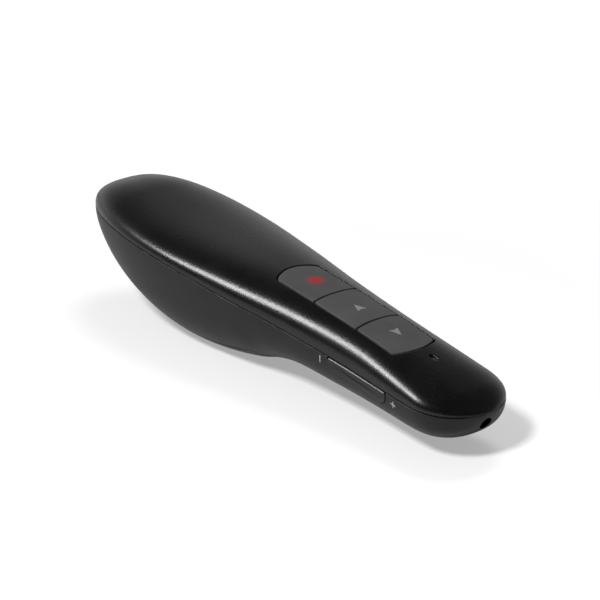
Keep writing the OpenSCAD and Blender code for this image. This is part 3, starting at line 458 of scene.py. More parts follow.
class Paint:
    """The nodes of one material, or of the world."""

    def __init__(self, name, kind="materials"):
        self.owner = getattr(bpy.data, kind).new(name)
        self.owner.use_nodes = True
        self.tree = self.owner.node_tree
        self.tree.nodes.clear()

    def node(self, kind, settings=None, inputs=(), out=0):
        """Adds a node: its settings, then its sockets' values or links, by order or by name."""
        made = self.tree.nodes.new(kind)
        for key, setting in (settings or {}).items():
            setattr(made, key, setting)
        pairs = inputs.items() if isinstance(inputs, dict) else enumerate(inputs)
        for key, given in pairs:
            if isinstance(given, Value):
                self.tree.links.new(given.socket, made.inputs[key])
            elif given is not None:
                made.inputs[key].default_value = given
        return Value(self, made.outputs[out]) if made.outputs else None

    def value(self, number):
        return self.node("ShaderNodeMath", {"operation": "ADD"}, [number, 0.0])

    def place(self, centre=(0, 0, 0), turn=(0, 0, 0)):
        """Object coordinates in millimetres, from a centre and turned about it."""
        objects = self.node("ShaderNodeTexCoord", out="Object")
        middle = self.node("ShaderNodeVectorMath", {"operation": "SUBTRACT"},
                           [objects, tuple(c * MM for c in centre)])
        return self.node("ShaderNodeMapping", {},
                         {"Vector": middle, "Rotation": turn, "Scale": (1 / MM,) * 3})

    def axes(self, vector):
        return [self.node("ShaderNodeSeparateXYZ", inputs=[vector], out=i) for i in range(3)]

    def noise(self, vector, scale, detail=2.0, rough=0.5):
        return self.node("ShaderNodeTexNoise", {}, {"Vector": vector, "Scale": scale,
                                                    "Detail": detail, "Roughness": rough})

    def cells(self, vector, scale, out="Distance"):
        return self.node("ShaderNodeTexVoronoi", {}, {"Vector": vector, "Scale": scale}, out)

    def mix(self, share, a, b):
        """Colour a where share is 0 and b where it is 1."""
        a, b = (c if isinstance(c, Value) else (*c, 1) for c in (a, b))
        return self.node("ShaderNodeMix", {"data_type": "RGBA"}, {0: share, 6: a, 7: b}, out=2)

    def step(self, value, start, end):
        """0 below start, 1 above end."""
        return self.node("ShaderNodeMapRange", {}, [value, start, end, 0.0, 1.0])

    def bump(self, height, depth):
        """Normal for a relief: height 0..1 is `depth` millimetres deep."""
        return self.node("ShaderNodeBump", {},
                         {"Height": height, "Distance": depth * MM, "Strength": 1.0})

    def finish(self, colour, roughness, metallic=0.0, normal=None, **constants):
        """The Principled shader; constants are set on the sockets that they name."""
        inputs = {"Base Color": colour, "Roughness": roughness, "Metallic": metallic, "Normal": normal}
        inputs.update((name.replace("_", " "), given) for name, given in constants.items())
        shader = self.node("ShaderNodeBsdfPrincipled", {}, inputs)
        self.node("ShaderNodeOutputMaterial", {}, [shader])
        return self.owner


def spark_finish(paint, at, size, share):
    """Spark-eroded plastic: two sizes of soft pits, as a height from 0 to 1."""
    return paint.noise(at, 1 / size, 3.0, 0.6) * share + paint.cells(at, 0.55 / size) * (1 - share)


def tone(paint, at, colour, amount, size):
    """A colour that drifts lighter and darker by a share over patches of this size."""
    drift = paint.step(paint.noise(at, 1 / size, 2.0), 0.3, 0.7)
    return paint.mix(drift, [c * (1 - amount) for c in colour], [c * (1 + amount) for c in colour])


def cover_paint():
    """Satin black with a fine sparkling grain."""
    p = Paint("satin_black_cover")
    at = p.place()
    grain = spark_finish(p, at, 0.4, 0.6)
    glint = p.step(p.cells(at, 2.6, out="Color"), 0.35, 0.9)
    rough = 0.27 + 0.06 * p.noise(at, 0.12) - 0.03 * glint
    return p.finish(tone(p, at, (0.0022, 0.0022, 0.0024), 0.25, 9), rough, normal=p.bump(grain, 0.024),
                    Specular_IOR_Level=0.5)


MARK_SOFT, MARK_HALF_W, UPRIGHT = 0.05, 0.13, math.pi / 2
MINUS_X, MINUS_Z, MINUS_HALF_L, MINUS_LEAN = 26.5, 14.1, 0.95, -0.1
PLUS_X, PLUS_Z, PLUS_HALF_L, PLUS_LEAN = 51.6, 11.4, 0.85, -0.12


def pale_lines(p, at, marks):
    """1 inside any of the bars: centre (x, z), half length, half width and angle in the side view."""
    x, _, z = p.axes(at)
    total = None
    for cx, cz, half_l, half_w, angle in marks:
        c, s = math.cos(angle), math.sin(angle)
        along, across = (x - cx) * c + (z - cz) * s, (z - cz) * c - (x - cx) * s
        inside = ((1 - p.step(along.size(), half_l - MARK_SOFT, half_l + MARK_SOFT))
                  * (1 - p.step(across.size(), half_w - MARK_SOFT, half_w + MARK_SOFT)))
        total = inside if total is None else total.high(inside)
    return total


def shell_paint():
    """Matt black shell with the printed minus and plus beside the rocker, on the right side only."""
    p = Paint("matt_black_shell")
    at = p.place()
    grain = spark_finish(p, at, 0.3, 0.6)
    _, y, _ = p.axes(at)
    marks = pale_lines(p, at, [
        (MINUS_X, MINUS_Z, MINUS_HALF_L, MARK_HALF_W, UPRIGHT + MINUS_LEAN),
        (PLUS_X, PLUS_Z, PLUS_HALF_L, MARK_HALF_W, PLUS_LEAN),
        (PLUS_X, PLUS_Z, PLUS_HALF_L, MARK_HALF_W, UPRIGHT + PLUS_LEAN)])
    print_on = marks * p.step(-y, 6, 7)
    base = tone(p, at, (0.0042, 0.0042, 0.0045), 0.2, 11)
    return p.finish(p.mix(print_on, base, (0.3, 0.3, 0.3)), 0.38 + 0.08 * p.noise(at, 0.15),
                    normal=p.bump(grain, 0.02), Specular_IOR_Level=0.36)


def key_paint(name, middle, mark):
    """Soft matt grey key with its printed mark, drawn round a point in the deck's directions."""
    p = Paint(name)
    at = p.place()
    grain = spark_finish(p, at, 0.25, 0.7)
    x, y, _ = p.axes(p.place(middle, (0, -DECK_TILT, 0)))
    base = tone(p, at, (0.03, 0.03, 0.031), 0.1, 7)
    colour = p.mix(mark(p, x, y), base, MARK_COLOURS[name])
    return p.finish(colour, 0.56 + 0.07 * p.noise(at, 0.3), normal=p.bump(grain, 0.014),
                    Specular_IOR_Level=0.42)


BURST_R, BURST_SWING, BURST_RAYS = 1.75, 0.75, 14
ARROW_TIP, ARROW_BASE, ARROW_SLOPE = 1.75, -1.35, 0.42
NOTCH_HALF_W, NOTCH_DEEP, NOTCH_SLOPE = 1.3, 0.5, 0.8


def burst(p, x, y):
    """A disc with rays: its radius is a mean plus a sine of the angle times the number of rays."""
    angle = y.math("ARCTAN2", x)
    radius = (x * x + y * y).root()
    reach = BURST_R + BURST_SWING * (angle * BURST_RAYS).sine()
    return 1 - p.step(radius - reach, -0.45, 0.35)


def arrow(direction):
    """A triangle with a notched base that points along the deck, rearwards (-1) or forwards (1)."""
    def mark(p, x, y):
        along = x * direction
        inside = (ARROW_TIP - along) * ARROW_SLOPE - y.size()
        notch = along - ARROW_BASE - (1 - (y.size() / NOTCH_HALF_W).low(1)) * NOTCH_DEEP
        body = p.step(inside.low(notch * NOTCH_SLOPE), -MARK_SOFT, MARK_SOFT)
        return body * (1 - p.step(along, ARROW_TIP - MARK_SOFT, ARROW_TIP + MARK_SOFT))
    return mark


MARK_COLOURS = {"laser_key_grey": (0.16, 0.005, 0.01), "page_back_grey": (0.1, 0.1, 0.1),
                "page_forward_grey": (0.1, 0.1, 0.1)}


# ---- the pieces ----
def edge_rows(hole, radius=EDGE_R):
    """(growth, depth) down a quarter circle: outwards at the rim of a hole, inwards on a part."""
    turn = FILLET[1:]
    away = radius * (1 - np.cos(turn))
    return [(0.0, radius)] + list(zip(away if hole else -away, radius * (1 - np.sin(turn))))


def well_cutter():
    """The opening for the keys: the group's outline grown by the slit, with a rounded edge."""
    rings = [key_ring(key_outline(0, 3, KEY_GAP), at=-CUT_DEPTH)]
    rings += [key_ring(key_outline(0, 3, KEY_GAP + g), depth) for g, depth in edge_rows(True)]
    rings.append(key_ring(key_outline(0, 3, KEY_GAP + EDGE_R), -CUT_OVER))
    return piece("well_cutter", loft(rings))


def led_cutter():
    """The light window's slot: a bar with round ends, sunk from the cover's form."""
    rings = []
    for grow, depth in [(0, CUT_DEPTH)] + edge_rows(True) + [(EDGE_R, -CUT_OVER)]:
        x, y = capsule_outline(LED_L, LED_W, grow)
        x, y = x + LED_X, y + LED_Y
        rings.append(np.stack([x, y, top_height(x, y) - depth], -1))
    return piece("led_cutter", loft(rings))


def key_shape(k):
    """A key: a flange at its foot, a rounded edge, and a top that follows the cover's form."""
    rear = 0 if k == 0 else -DIVIDER_GAP / 2
    front = 0 if k == 2 else -DIVIDER_GAP / 2
    foot, shoulder = FLANGE_TOP - FLANGE_T, FLANGE_TOP
    rings = [key_ring(key_outline(k, k + 1, g, rear, front), at=z)
             for g, z in ((FLANGE_OUT, foot), (FLANGE_OUT, shoulder), (0, shoulder))]
    rings += [key_ring(key_outline(k, k + 1, g, rear + g, front + g), depth)
              for g, depth in edge_rows(False)]
    top = key_outline(k, k + 1, -EDGE_R, rear - EDGE_R, front - EDGE_R)
    rings += [key_ring(shrunk(top, share), 0) for share in np.linspace(0.94, 0.04, 14)]
    return loft(rings)


def rocker_outline(grow=0.0, above=None, top_grow=0.0, count=40):
    """The rocker seen from the side: its top follows the seam, its ends are rounded, more so below.

    Its opening has no top of its own, and ends at a height above the seam instead.
    """
    half = ROCKER_L / 2 + grow
    x = ROCKER_X - half * np.cos(np.linspace(0, math.pi, count + 1))
    _, seam, _, _ = sizes(x)

    def rounded_end(radius):
        d = np.clip(half - np.abs(x - ROCKER_X), 0, radius)
        return radius - np.sqrt(radius**2 - (radius - d) ** 2)

    low = seam - ROCKER_GAP / 2 - ROCKER_H - grow + rounded_end(ROCKER_LOW_R + grow)
    if above is None:
        high = seam - ROCKER_TOP_GAP + top_grow - rounded_end(ROCKER_TOP_R)
    else:
        high = seam + above
    return np.concatenate([x, x[::-1]]), np.concatenate([low, high[::-1]])


def on_right_side(outline, depth=None, at=None):
    """An outline in (x, z) laid on the right side, `depth` below its form, or at y = at."""
    x, z = outline
    y = -(side_width(x, z) - depth) if at is None else np.full_like(x, at)
    return np.stack([x, y, z], -1)


def rocker_cutter():
    """The rocker's opening, cut out past the seam, with a small rounding at its rim."""
    rings = [on_right_side(rocker_outline(ROCKER_GAP, 1), at=ROCKER_WELL_Y)]
    rows = edge_rows(True, ROCKER_HOLE_R)
    rings += [on_right_side(rocker_outline(ROCKER_GAP + g, 1), depth) for g, depth in rows]
    rings.append(on_right_side(rocker_outline(ROCKER_GAP + ROCKER_HOLE_R, 1), -SIDE_OVER))
    return piece("rocker_cutter", loft(rings))


def rocker_shape():
    """The rocker's cap: its outline carried outwards, a bevel, wide along the top, and a proud face."""
    rings = [on_right_side(rocker_outline(), at=-ROCKER_INNER_Y)]
    for share, depth in ((0, 1), (0.12, 0.8), (0.85, 0.1), (1, 0)):
        x, z = rocker_outline(-ROCKER_SIDE_BEVEL * share, top_grow=-ROCKER_TOP_BEVEL * share)
        rings.append(on_right_side((x, z), ROCKER_BEVEL_DEPTH * depth - ROCKER_PROUD))
    _, seam, _, _ = sizes(x)
    middle = seam - ROCKER_GAP / 2 - ROCKER_H / 2
    for share in (0.95, 0.8, 0.6, 0.4, 0.2, 0.004):
        centre_x = ROCKER_X + (x - ROCKER_X) * (1 - (1 - share) * ROCKER_DRAW_IN)
        rings.append(on_right_side((centre_x, middle + (z - middle) * share), -ROCKER_PROUD))
    return loft(rings)


def plain_box(low, high, corner=0.15):
    """A box with its upright edges rounded and its ends flat."""
    low, high = np.array(low, float), np.array(high, float)
    middle, half = (low + high) / 2, (high - low) / 2
    x, y = box_outline(half[0], half[1], min(corner, half[0] * 0.9, half[1] * 0.9), count=3)
    rings = [np.stack([x * s + middle[0], y * s + middle[1], np.full_like(x, z)], -1)
             for s, z in ((1, low[2]), (1, high[2]))]
    return loft(rings)


def deck_shape(shape):
    """The same shape with its points given on the key deck."""
    points, faces = shape
    return from_deck(points[:, 0], points[:, 1], points[:, 2]), faces


def door_rings(grow, piece_edge):
    """The door's outline in plan, carried up from under the keel with a rounded edge."""
    middle = sum(DOOR_X) / 2
    half = (DOOR_X[1] - DOOR_X[0]) / 2

    def ring(extra, height):
        x, y = box_outline(half, DOOR_HALF_W, DOOR_CORNER, grow + extra, 12)
        x = x + middle
        return np.stack([x, y, height(x, y)], -1)

    rows = edge_rows(not piece_edge)
    rings = [ring(0, lambda x, y: np.full_like(x, DOOR_CUT_Z))]
    rings += [ring(g, lambda x, y, d=depth: keel_height(x, y) + d) for g, depth in rows]
    return rings + [ring(rows[-1][0], lambda x, y: np.full_like(x, -CUT_OVER))]


def grip_cutter(i):
    """One of the door's grip grooves: a bar across the keel with a rounded floor."""
    at = DOOR_X[0] + GRIP_FIRST + GRIP_PITCH * i
    rings = []
    for grow, lift in ((-0.4, 0.45), (-0.1, 0.3), (0, 0), (0, -3)):
        across, along = capsule_outline(GRIP_L, GRIP_W, grow)
        rings.append(np.stack([along + at, across, keel_height(along + at, across) + lift], -1))
    return piece("grip_cutter", loft(rings))


def tongue_blocks():
    """Corners of the two boxes of the door's tongue: its root on the door, and its blade."""
    tip, root = DOOR_X[1] + TONGUE_REACH, DOOR_X[1] - TONGUE_ROOT
    z = float(keel_height(tip, TONGUE_HALF_W)) + WALL + TONGUE_ROOM
    root_z = float(keel_height(root, 0)) + WALL - 0.5
    return (([root, -TONGUE_HALF_W, root_z], [DOOR_X[1], TONGUE_HALF_W, z + TONGUE_T - 0.02]),
            ([root + 0.1, -TONGUE_HALF_W, z], [tip, TONGUE_HALF_W, z + TONGUE_T]))


def door_ledge(side):
    """A strip inside the shell that covers the gap in front of the door, beside the door's tongue.

    Its section (x, depth under the skin) is a step: a foot in the shell's wall, a lip over the gap.
    """
    lip, foot = DOOR_X[1] - LEDGE_LIP, DOOR_X[1] + DOOR_GAP + 0.1
    over, under = WALL + LEDGE_LIP, WALL + 0.12
    corners = [(lip, under), (foot, under), (foot, WALL - 0.4), (foot + 1, WALL - 0.4),
               (foot + 1, over), (lip, over)]
    x, inset = np.array(corners).T
    rings = []
    for y in np.linspace(TONGUE_HALF_W + 0.4, DOOR_HALF_W + 0.9, 9):
        width, seam, _, drop = sizes(x)
        below = drop * (1 - (y / width) ** SHELL_POWER) ** (1 / SHELL_POWER)
        outside = np.stack([x, np.full_like(x, side * y), seam - below], -1)
        rings.append(outside - inset[:, None] * level_normal(outside))
    return piece("door_ledge", loft(rings))


def end_ring(outline, depth=None, at=None, side=-1):
    """An outline in (y, z) laid on the rear end or the nose."""
    y, z = outline
    return np.stack([end_x(y, z, side) - side * depth if at is None else np.full_like(y, at), y, z], -1)


cap_low, cap_high = span("receiver_cap")
CAP_HALF_W, CAP_HALF_H = cap_high[1], (cap_high[2] - cap_low[2]) / 2
CAP_Z, CAP_CORNER, CAP_GAP, CAP_PROUD = (cap_high[2] + cap_low[2]) / 2, 0.9, 0.15, 0.2
SLOT_END_X = -60


def cap_outline(grow):
    """The receiver's cap seen from behind."""
    y, z = box_outline(CAP_HALF_W, CAP_HALF_H, CAP_CORNER, grow)
    return y, z + CAP_Z


def slot_cutter():
    """The receiver's slot in the rear end, with a rounded edge."""
    rings = [end_ring(cap_outline(CAP_GAP), at=SLOT_END_X)]
    rings += [end_ring(cap_outline(CAP_GAP + g), depth) for g, depth in edge_rows(True)]
    rings.append(end_ring(cap_outline(CAP_GAP + EDGE_R), at=REAR - 5))
    return piece("slot_cutter", loft(rings))


def cap_shape():
    """The receiver's cap: a rounded block whose outer face follows the rear end, a little proud."""
    inner = cap_high[0]
    rings = [end_ring(cap_outline(grow), depth - CAP_PROUD) for grow, depth in edge_rows(False)]
    y, z = cap_outline(-EDGE_R)
    rings += [end_ring((y * share, CAP_Z + (z - CAP_Z) * share), -CAP_PROUD)
              for share in (0.9, 0.75, 0.6, 0.45, 0.3, 0.15, 0.03)]
    for ring in rings:
        ring[:, 0] = np.minimum(ring[:, 0], inner - 0.1)
    return loft([end_ring(cap_outline(0), at=inner)] + rings)


def aperture_cutter():
    """The laser's hole, with a flared mouth."""
    rings = []
    a = np.linspace(0, 2 * math.pi, 48, endpoint=False)
    flare = [(MOUTH_FLARE * (1 - math.cos(t)), MOUTH_FLARE * (1 - math.sin(t)), None) for t in FILLET]
    inner, outer = (0, 0, NOSE - APERTURE_DEPTH), (MOUTH_FLARE, 0, NOSE + CUT_OVER)
    for grow, depth, at in [inner] + flare + [outer]:
        r = APERTURE_R + grow
        rings.append(end_ring((r * np.cos(a), LASER_Z + r * np.sin(a)), depth, at, side=1))
    return piece("aperture_cutter", loft(rings))


def left_ring(outline, depth=None, at=None):
    """An outline in the deck's (x, z), laid on the left side or at y = at."""
    x, z = outline
    p = from_deck(x, np.zeros_like(x), z)
    p[:, 1] = side_width(p[:, 0], p[:, 2]) - depth if at is None else at
    return p


def pocket_cutter():
    """The pocket that the power slider runs in."""
    def outline(grow):
        x, z = capsule_outline(KNOB_L + TRAVEL + POCKET_ROOM[0], KNOB_H + POCKET_ROOM[1], grow)
        return x + KNOB_X + TRAVEL / 2, z + KNOB_Z
    rings = [left_ring(outline(0), at=POCKET_Y)]
    rings += [left_ring(outline(g), depth) for g, depth in edge_rows(True)]
    rings.append(left_ring(outline(EDGE_R), -SIDE_OVER))
    return piece("pocket_cutter", loft(rings))


def stem_slot_cutter():
    """The slot in the pocket's floor for the slider's stem."""
    x, z = capsule_outline(TRAVEL + STEM_L, STEM_W)
    outline = x + KNOB_X + TRAVEL / 2, z + KNOB_Z
    return piece("stem_slot_cutter", loft([left_ring(outline, at=y) for y in STEM_SLOT_Y]))


def knob_shape():
    """The power slider: a capsule with a rounded edge, three ribs across it, and its stem."""
    def outline(grow):
        x, z = capsule_outline(KNOB_L, KNOB_H, grow)
        return x + KNOB_X, z + KNOB_Z
    top = POCKET_Y + KNOB_T
    rings = [left_ring(outline(0), at=POCKET_Y + 0.05)]
    rings += [left_ring(outline(g), at=top - d) for g, d in edge_rows(False)]
    shapes = [loft(rings)]
    for i in (-1, 0, 1):
        rings = []
        for grow, y in ((0, top - 0.1), (0, top + 0.12), (-0.07, top + 0.2), (-0.18, top + 0.25)):
            x, z = capsule_outline(RIB_L, RIB_W, grow)
            rings.append(left_ring((z + KNOB_X + RIB_PITCH * i, x + KNOB_Z), at=y))
        shapes.append(loft(rings))
    x, z = box_outline(1.5, 0.75, 0.2)
    stem = x + KNOB_X, z + KNOB_Z
    shapes.append(loft([left_ring(stem, at=y) for y in (STEM_INNER_Y, POCKET_Y + 0.1)]))
    return shapes


# ---- finishes of what is inside ----
def moulded(name, colour, rough, size=0.3, deep=0.015, drift=0.12, **constants):
    """Moulded plastic or rubber: a slow drift of tone and a fine grain."""
    p = Paint(name)
    at = p.place()
    return p.finish(tone(p, at, colour, drift, 6), rough + 0.08 * p.noise(at, 0.4),
                    normal=p.bump(spark_finish(p, at, size, 0.6), deep), **constants)


def metal(name, colour, rough, direction=(0.15, 6.0, 6.0)):
    """Drawn or rolled metal: noise stretched along the grain drives tone, roughness and relief."""
    p = Paint(name)
    at = p.place()
    along = p.node("ShaderNodeMapping", {}, {"Vector": at, "Scale": direction})
    lines = p.noise(along, 1.2, 3.0, 0.6)
    return p.finish(tone(p, at, colour, 0.08, 3), rough + 0.14 * lines, 1.0, p.bump(lines, 0.01))


def board_paint():
    """Solder mask over copper: lighter tracks in bent rows, broken by noise, and pads at the vias."""
    p = Paint("green_board")
    at = p.place((DECK_X, 0, DECK_Z), (0, -DECK_TILT, 0))
    x, y, _ = p.axes(at)
    bend = p.noise(at, 0.12, 0.0) * 6
    tracks = p.step(((y + bend) * 5.2).sine(), 0.55, 0.75) * p.step(p.noise(at, 0.2, 0.0), 0.48, 0.52)
    vias = 1 - p.step(p.cells(at, 0.45), 0.13, 0.16)
    colour = p.mix(tracks, (0.008, 0.075, 0.03), (0.016, 0.14, 0.055))
    colour = p.mix(vias, colour, (0.5, 0.42, 0.25))
    return p.finish(colour, 0.34 + 0.1 * p.noise(at, 1.0), normal=p.bump(tracks.high(vias), 0.03))


def cell_paint():
    """A cell's printed wrap: copper with a black band across it, and bare steel at both ends."""
    p = Paint("cell_wrap")
    at = p.place()
    x, _, _ = p.axes(at)
    low, high = span("battery_left")
    ends = (1 - p.step(x, low[0] + 0.4, low[0] + 0.5)).high(p.step(x, high[0] - 1.6, high[0] - 1.5))
    band = p.step(x, BAND_X[0], BAND_X[0] + 0.1) * (1 - p.step(x, BAND_X[1], BAND_X[1] + 0.1))
    colour = p.mix(band, (0.5, 0.16, 0.035), (0.035, 0.035, 0.04))
    colour = p.mix(ends, colour, (0.55, 0.55, 0.56))
    return p.finish(colour, 0.28 + 0.1 * p.noise(at, 0.5), ends * 0.9, p.bump(p.noise(at, 0.7), 0.02))


def clear(name, colour, rough):
    """Moulded clear plastic or glass, slightly uneven."""
    p = Paint(name)
    at = p.place()
    return p.finish(tone(p, at, colour, 0.1, 2), rough + 0.06 * p.noise(at, 1.0),
                    normal=p.bump(p.noise(at, 0.6), 0.01), Transmission_Weight=0.85, IOR=1.5)


def led_paint():
    """The yellowish resin of a small light."""
    p = Paint("led_body")
    at = p.place()
    return p.finish(tone(p, at, (0.72, 0.7, 0.5), 0.1, 1), 0.3 + 0.1 * p.noise(at, 1.0),
                    normal=p.bump(p.noise(at, 1.5), 0.01), Coat_Weight=0.4)


paints = {
    "cover_black": cover_paint(), "shell_black": shell_paint(),
    "key_grey": moulded("grey_key_foot", (0.047, 0.047, 0.048), 0.56),
    "inner_plastic": moulded("inner_plastic", (0.055, 0.056, 0.06), 0.5),
    "silicone": moulded("silicone_mat", (0.03, 0.03, 0.031), 0.7, 0.5, 0.02),
    "board_green": board_paint(),
    "chip_black": moulded("chip_resin", (0.012, 0.012, 0.013), 0.42, 0.12, 0.008),
    "part_tan": moulded("small_parts", (0.34, 0.22, 0.11), 0.4, 0.1, 0.006),
    "steel": metal("plated_steel", (0.55, 0.55, 0.56), 0.24),
    "brass": metal("brass", (0.62, 0.42, 0.15), 0.26),
    "cream_plastic": moulded("cream_plastic", (0.6, 0.54, 0.4), 0.38),
    "led_yellow": led_paint(),
    "clear_smoke": moulded("smoked_light_pipe", (0.006, 0.006, 0.006), 0.3, 0.5, 0.004),
    "lens_glass": clear("lens_glass", (0.85, 0.92, 0.95), 0.03),
    "cell_wrap": cell_paint(),
}
SLOT_NODES = {
    "inner_plastic": ["chassis", "laser_key_switch", "page_back_switch", "page_forward_switch",
                      "volume_down_switch", "volume_up_switch", "receiver_tongue"],
    "silicone": ["key_mat", "laser_clamp"], "board_green": ["main_board", "laser_board"],
    "chip_black": ["radio_chip"], "part_tan": ["chip_parts"],
    "steel": ["chassis_screws", "board_screws", "crystal_can", "rocker_bracket", "rocker_pin",
              "power_switch", "battery_springs", "rear_contacts", "front_link", "receiver_plug"],
    "brass": ["laser_barrel", "laser_diode", "laser_pins", "receiver_pins"],
    "cream_plastic": ["laser_key_plunger", "page_back_plunger", "page_forward_plunger",
                      "volume_down_plunger", "volume_up_plunger", "power_lever"],
    "led_yellow": ["status_led"], "clear_smoke": ["light_pipe"], "lens_glass": ["laser_lens"],
    "cell_wrap": ["battery_left", "battery_right"],
}
for slot, names in SLOT_NODES.items():
    for name in names:
        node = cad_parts[name]
        node.data.materials.clear()
        node.data.materials.append(paints[slot])

# ---- the dressed pieces ----
cover = carve(half_shell("cover", 0), [well_cutter(), led_cutter()])
dressed(smooth(cover, on_skin=True), "case", paints["cover_black"], "cover_black", "top_cover")

shell = carve(half_shell("shell", math.pi), [
    piece("door_cutter", loft(door_rings(DOOR_GAP, False))), rocker_cutter(), slot_cutter(),
    aperture_cutter(), pocket_cutter(), stem_slot_cutter()])
shell = carve(shell, [door_ledge(1), door_ledge(-1)], "UNION")
dressed(smooth(shell, on_skin=True), "case", paints["shell_black"], "shell_black", "lower_shell")

door_outline = piece("door_outline", loft(door_rings(0.0, True)))
door = carve(half_shell("door", math.pi), [door_outline], "INTERSECT")
door = carve(door, [grip_cutter(i) for i in range(GRIPS)])
for low, high in tongue_blocks():
    door = carve(door, [piece("tongue_block", plain_box(low, high))], "UNION")
smooth(door, on_skin=True)
dressed(door, "battery_door", paints["shell_black"], "shell_black", "battery_door")

# each key's node, the x and y of its printed mark, the mark and the name of its finish
KEYS = [("laser_key", 9.8, 0.6, burst, "laser_key_grey"),
        ("page_back_key", 25.8, 0.15, arrow(-1), "page_back_grey"),
        ("page_forward_key", 38.95, 0.3, arrow(1), "page_forward_grey")]
for k, (node, x, y, mark, name) in enumerate(KEYS):
    key = piece(node + "_cap", key_shape(k))
    paint = key_paint(name, (x, y, float(top_height(x, 0))), mark)
    dressed(smooth(key, 30, on_skin=True), node, paint, "key_grey", node)

lug = plain_box([LUG_X - LUG_HALF_L, -ROCKER_INNER_Y - LUG_OVERLAP, LUG_Z[0]],
                [LUG_X + LUG_HALF_L, -LUG_INNER_Y, LUG_Z[1]])
rocker = smooth(piece("rocker_cap", rocker_shape(), deck_shape(lug)), 18, on_skin=True, reach=0.2,
                facing_within=0.985)
rocker_paint = moulded("satin_rocker", (0.004, 0.004, 0.0043), 0.28, 0.3, 0.012,
                       Specular_IOR_Level=0.42)
dressed(rocker, "volume_rocker", rocker_paint, "shell_black", "volume_rocker")

knob = piece("power_knob_cap", *knob_shape())
knob_paint = moulded("knob_plastic", (0.03, 0.03, 0.031), 0.5)
dressed(smooth(knob), "power_slider", knob_paint, "shell_black", "power_knob")

cap = piece("receiver_cap_block", cap_shape())
dressed(smooth(cap), "usb_receiver", paints["shell_black"], "cover_black", "receiver_cap")

# ---- studio ----
AZIMUTH, ELEVATION, DISTANCE = math.radians(50.3538), math.radians(22.8746), 597.45
PIXELS_PER_MM, SHIFT_RIGHT, SHIFT_DOWN = 4.15167, -2.973, 4.480
TARGET = np.array([0, 0, 12.0])
SENSOR, PICTURE_W = 36, 600               # width in millimetres, and in pixels
FLOOR_HALF, FLOOR_LIFT, FLOOR_FAR, FLOOR_WHITE = 1500, 0.36, 0.15, 0.5
FAR_FROM, FAR_TO, WHITE_FROM, WHITE_TO = 90.0, 190.0, 250.0, 600.0
BACKDROP, CEILING, AMBIENT, BACKDROP_TOP, BACKDROP_SIDE = 0.75, 0.015, 0.35, (10, 44), 135

back = np.array([math.sin(AZIMUTH) * math.cos(ELEVATION), -math.cos(AZIMUTH) * math.cos(ELEVATION),
                 math.sin(ELEVATION)])
right = np.array([math.cos(AZIMUTH), math.sin(AZIMUTH), 0])
up = np.cross(back, right)
eye = TARGET + back * DISTANCE - right * SHIFT_RIGHT + up * SHIFT_DOWN
camera = bpy.data.objects.new("camera", bpy.data.cameras.new("camera"))
bpy.context.scene.collection.objects.link(camera)
turned = Matrix((right, up, back)).transposed().to_4x4()
camera.matrix_world = Matrix.Translation(Vector(eye * MM)) @ turned
camera.data.sensor_width = SENSOR
camera.data.lens = PIXELS_PER_MM * DISTANCE * SENSOR / PICTURE_W
camera.data.clip_start, camera.data.clip_end = 0.01, 20
bpy.context.scene.camera = camera


def lamp(name, toward, distance, size, power, glossy):
    """A softbox in the direction `toward` (azimuth from +X, elevation, in degrees).

    A glossy one only shows in reflections; any other one only lights.
    """
    a, e = map(math.radians, toward)
    way = np.array([math.cos(a) * math.cos(e), math.sin(a) * math.cos(e), math.sin(e)])
    light = bpy.data.lights.new(name, "AREA")
    light.shape, light.size, light.energy = "SQUARE", size, power
    obj = bpy.data.objects.new(name, light)
    bpy.context.scene.collection.objects.link(obj)
    obj.location = Vector(TARGET * MM + way * distance)
    obj.visible_glossy, obj.visible_diffuse = glossy, not glossy
    obj.rotation_mode = "QUATERNION"
    obj.rotation_quaternion = Vector(way).to_track_quat("Z", "Y")


lamp("ridge_light", (-130, 42), 0.7, 0.2, 3.4, glossy=True)
lamp("key_softbox", (-72, 48), 0.7, 0.12, 8.6, glossy=False)
lamp("top_softbox", (120, 62), 0.9, 0.35, 4.4, glossy=False)


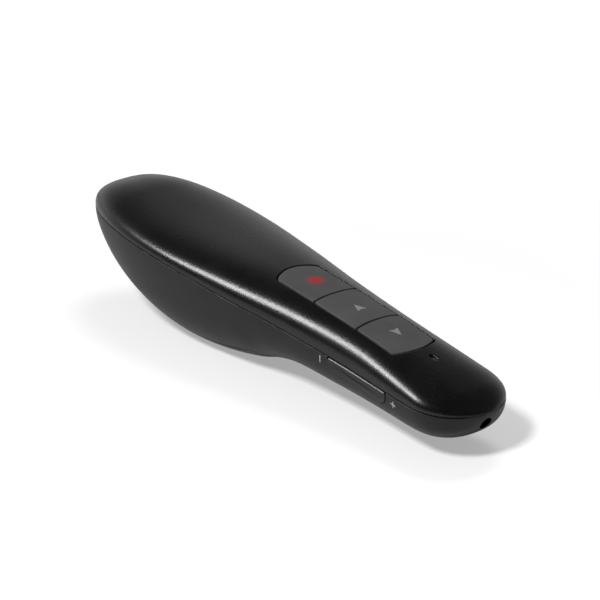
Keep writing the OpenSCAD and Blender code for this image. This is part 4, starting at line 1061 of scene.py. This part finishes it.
def floor_paint():
    """Pale floor: lit matt grey, and a glow for the camera alone, which is white with it.

    The glow grows with the distance from the middle, so that only the shadow stays.
    """
    p = Paint("studio_floor")
    at = p.place()
    camera_ray = p.node("ShaderNodeLightPath", out="Is Camera Ray")
    x, y, _ = p.axes(at)
    radius = (x * x + y * y).root()
    lift = (FLOOR_LIFT + p.step(radius, FAR_FROM, FAR_TO) * FLOOR_FAR
            + p.step(radius, WHITE_FROM, WHITE_TO) * FLOOR_WHITE)
    shade = p.node("ShaderNodeBsdfDiffuse", {}, [tone(p, at, (0.34, 0.34, 0.34), 0.004, 60)])
    glow = p.node("ShaderNodeEmission", {}, [(1, 1, 1, 1), camera_ray * lift])
    both = p.node("ShaderNodeAddShader", {}, [shade, glow])
    p.node("ShaderNodeOutputMaterial", {}, [both])
    return p.owner


corners = [[x * FLOOR_HALF, y * FLOOR_HALF, 0] for x, y in ((-1, -1), (1, -1), (1, 1), (-1, 1))]
floor = piece("floor", (corners, [(0, 1, 2, 3)]))
floor.data.materials.append(floor_paint())


def studio_world():
    """White for the camera, even grey as light, and in gloss a pale backdrop on one side.

    The backdrop is 1 below a height and fades to the ceiling's value above it.
    """
    p = Paint("studio", "worlds")
    bpy.context.scene.world = p.owner
    x, y, z = p.axes(p.node("ShaderNodeTexCoord", out="Generated"))
    wall = 1 - p.step(z, *(math.sin(math.radians(height)) for height in BACKDROP_TOP))
    side = math.radians(BACKDROP_SIDE)
    behind = x * math.cos(side) + y * math.sin(side)
    mirrored = wall * p.step(behind, -0.1, 0.5) * (BACKDROP - CEILING) + CEILING
    glossy_ray = p.node("ShaderNodeLightPath", out="Is Glossy Ray")
    camera_ray = p.node("ShaderNodeLightPath", out="Is Camera Ray")
    strength = AMBIENT + glossy_ray * (mirrored - AMBIENT)
    strength = strength + camera_ray * (1 - strength)
    sky = p.node("ShaderNodeBackground", {}, [(1, 1, 1, 1), strength])
    p.node("ShaderNodeOutputWorld", {}, [sky])


studio_world()
bpy.context.scene.view_settings.view_transform = "Standard"
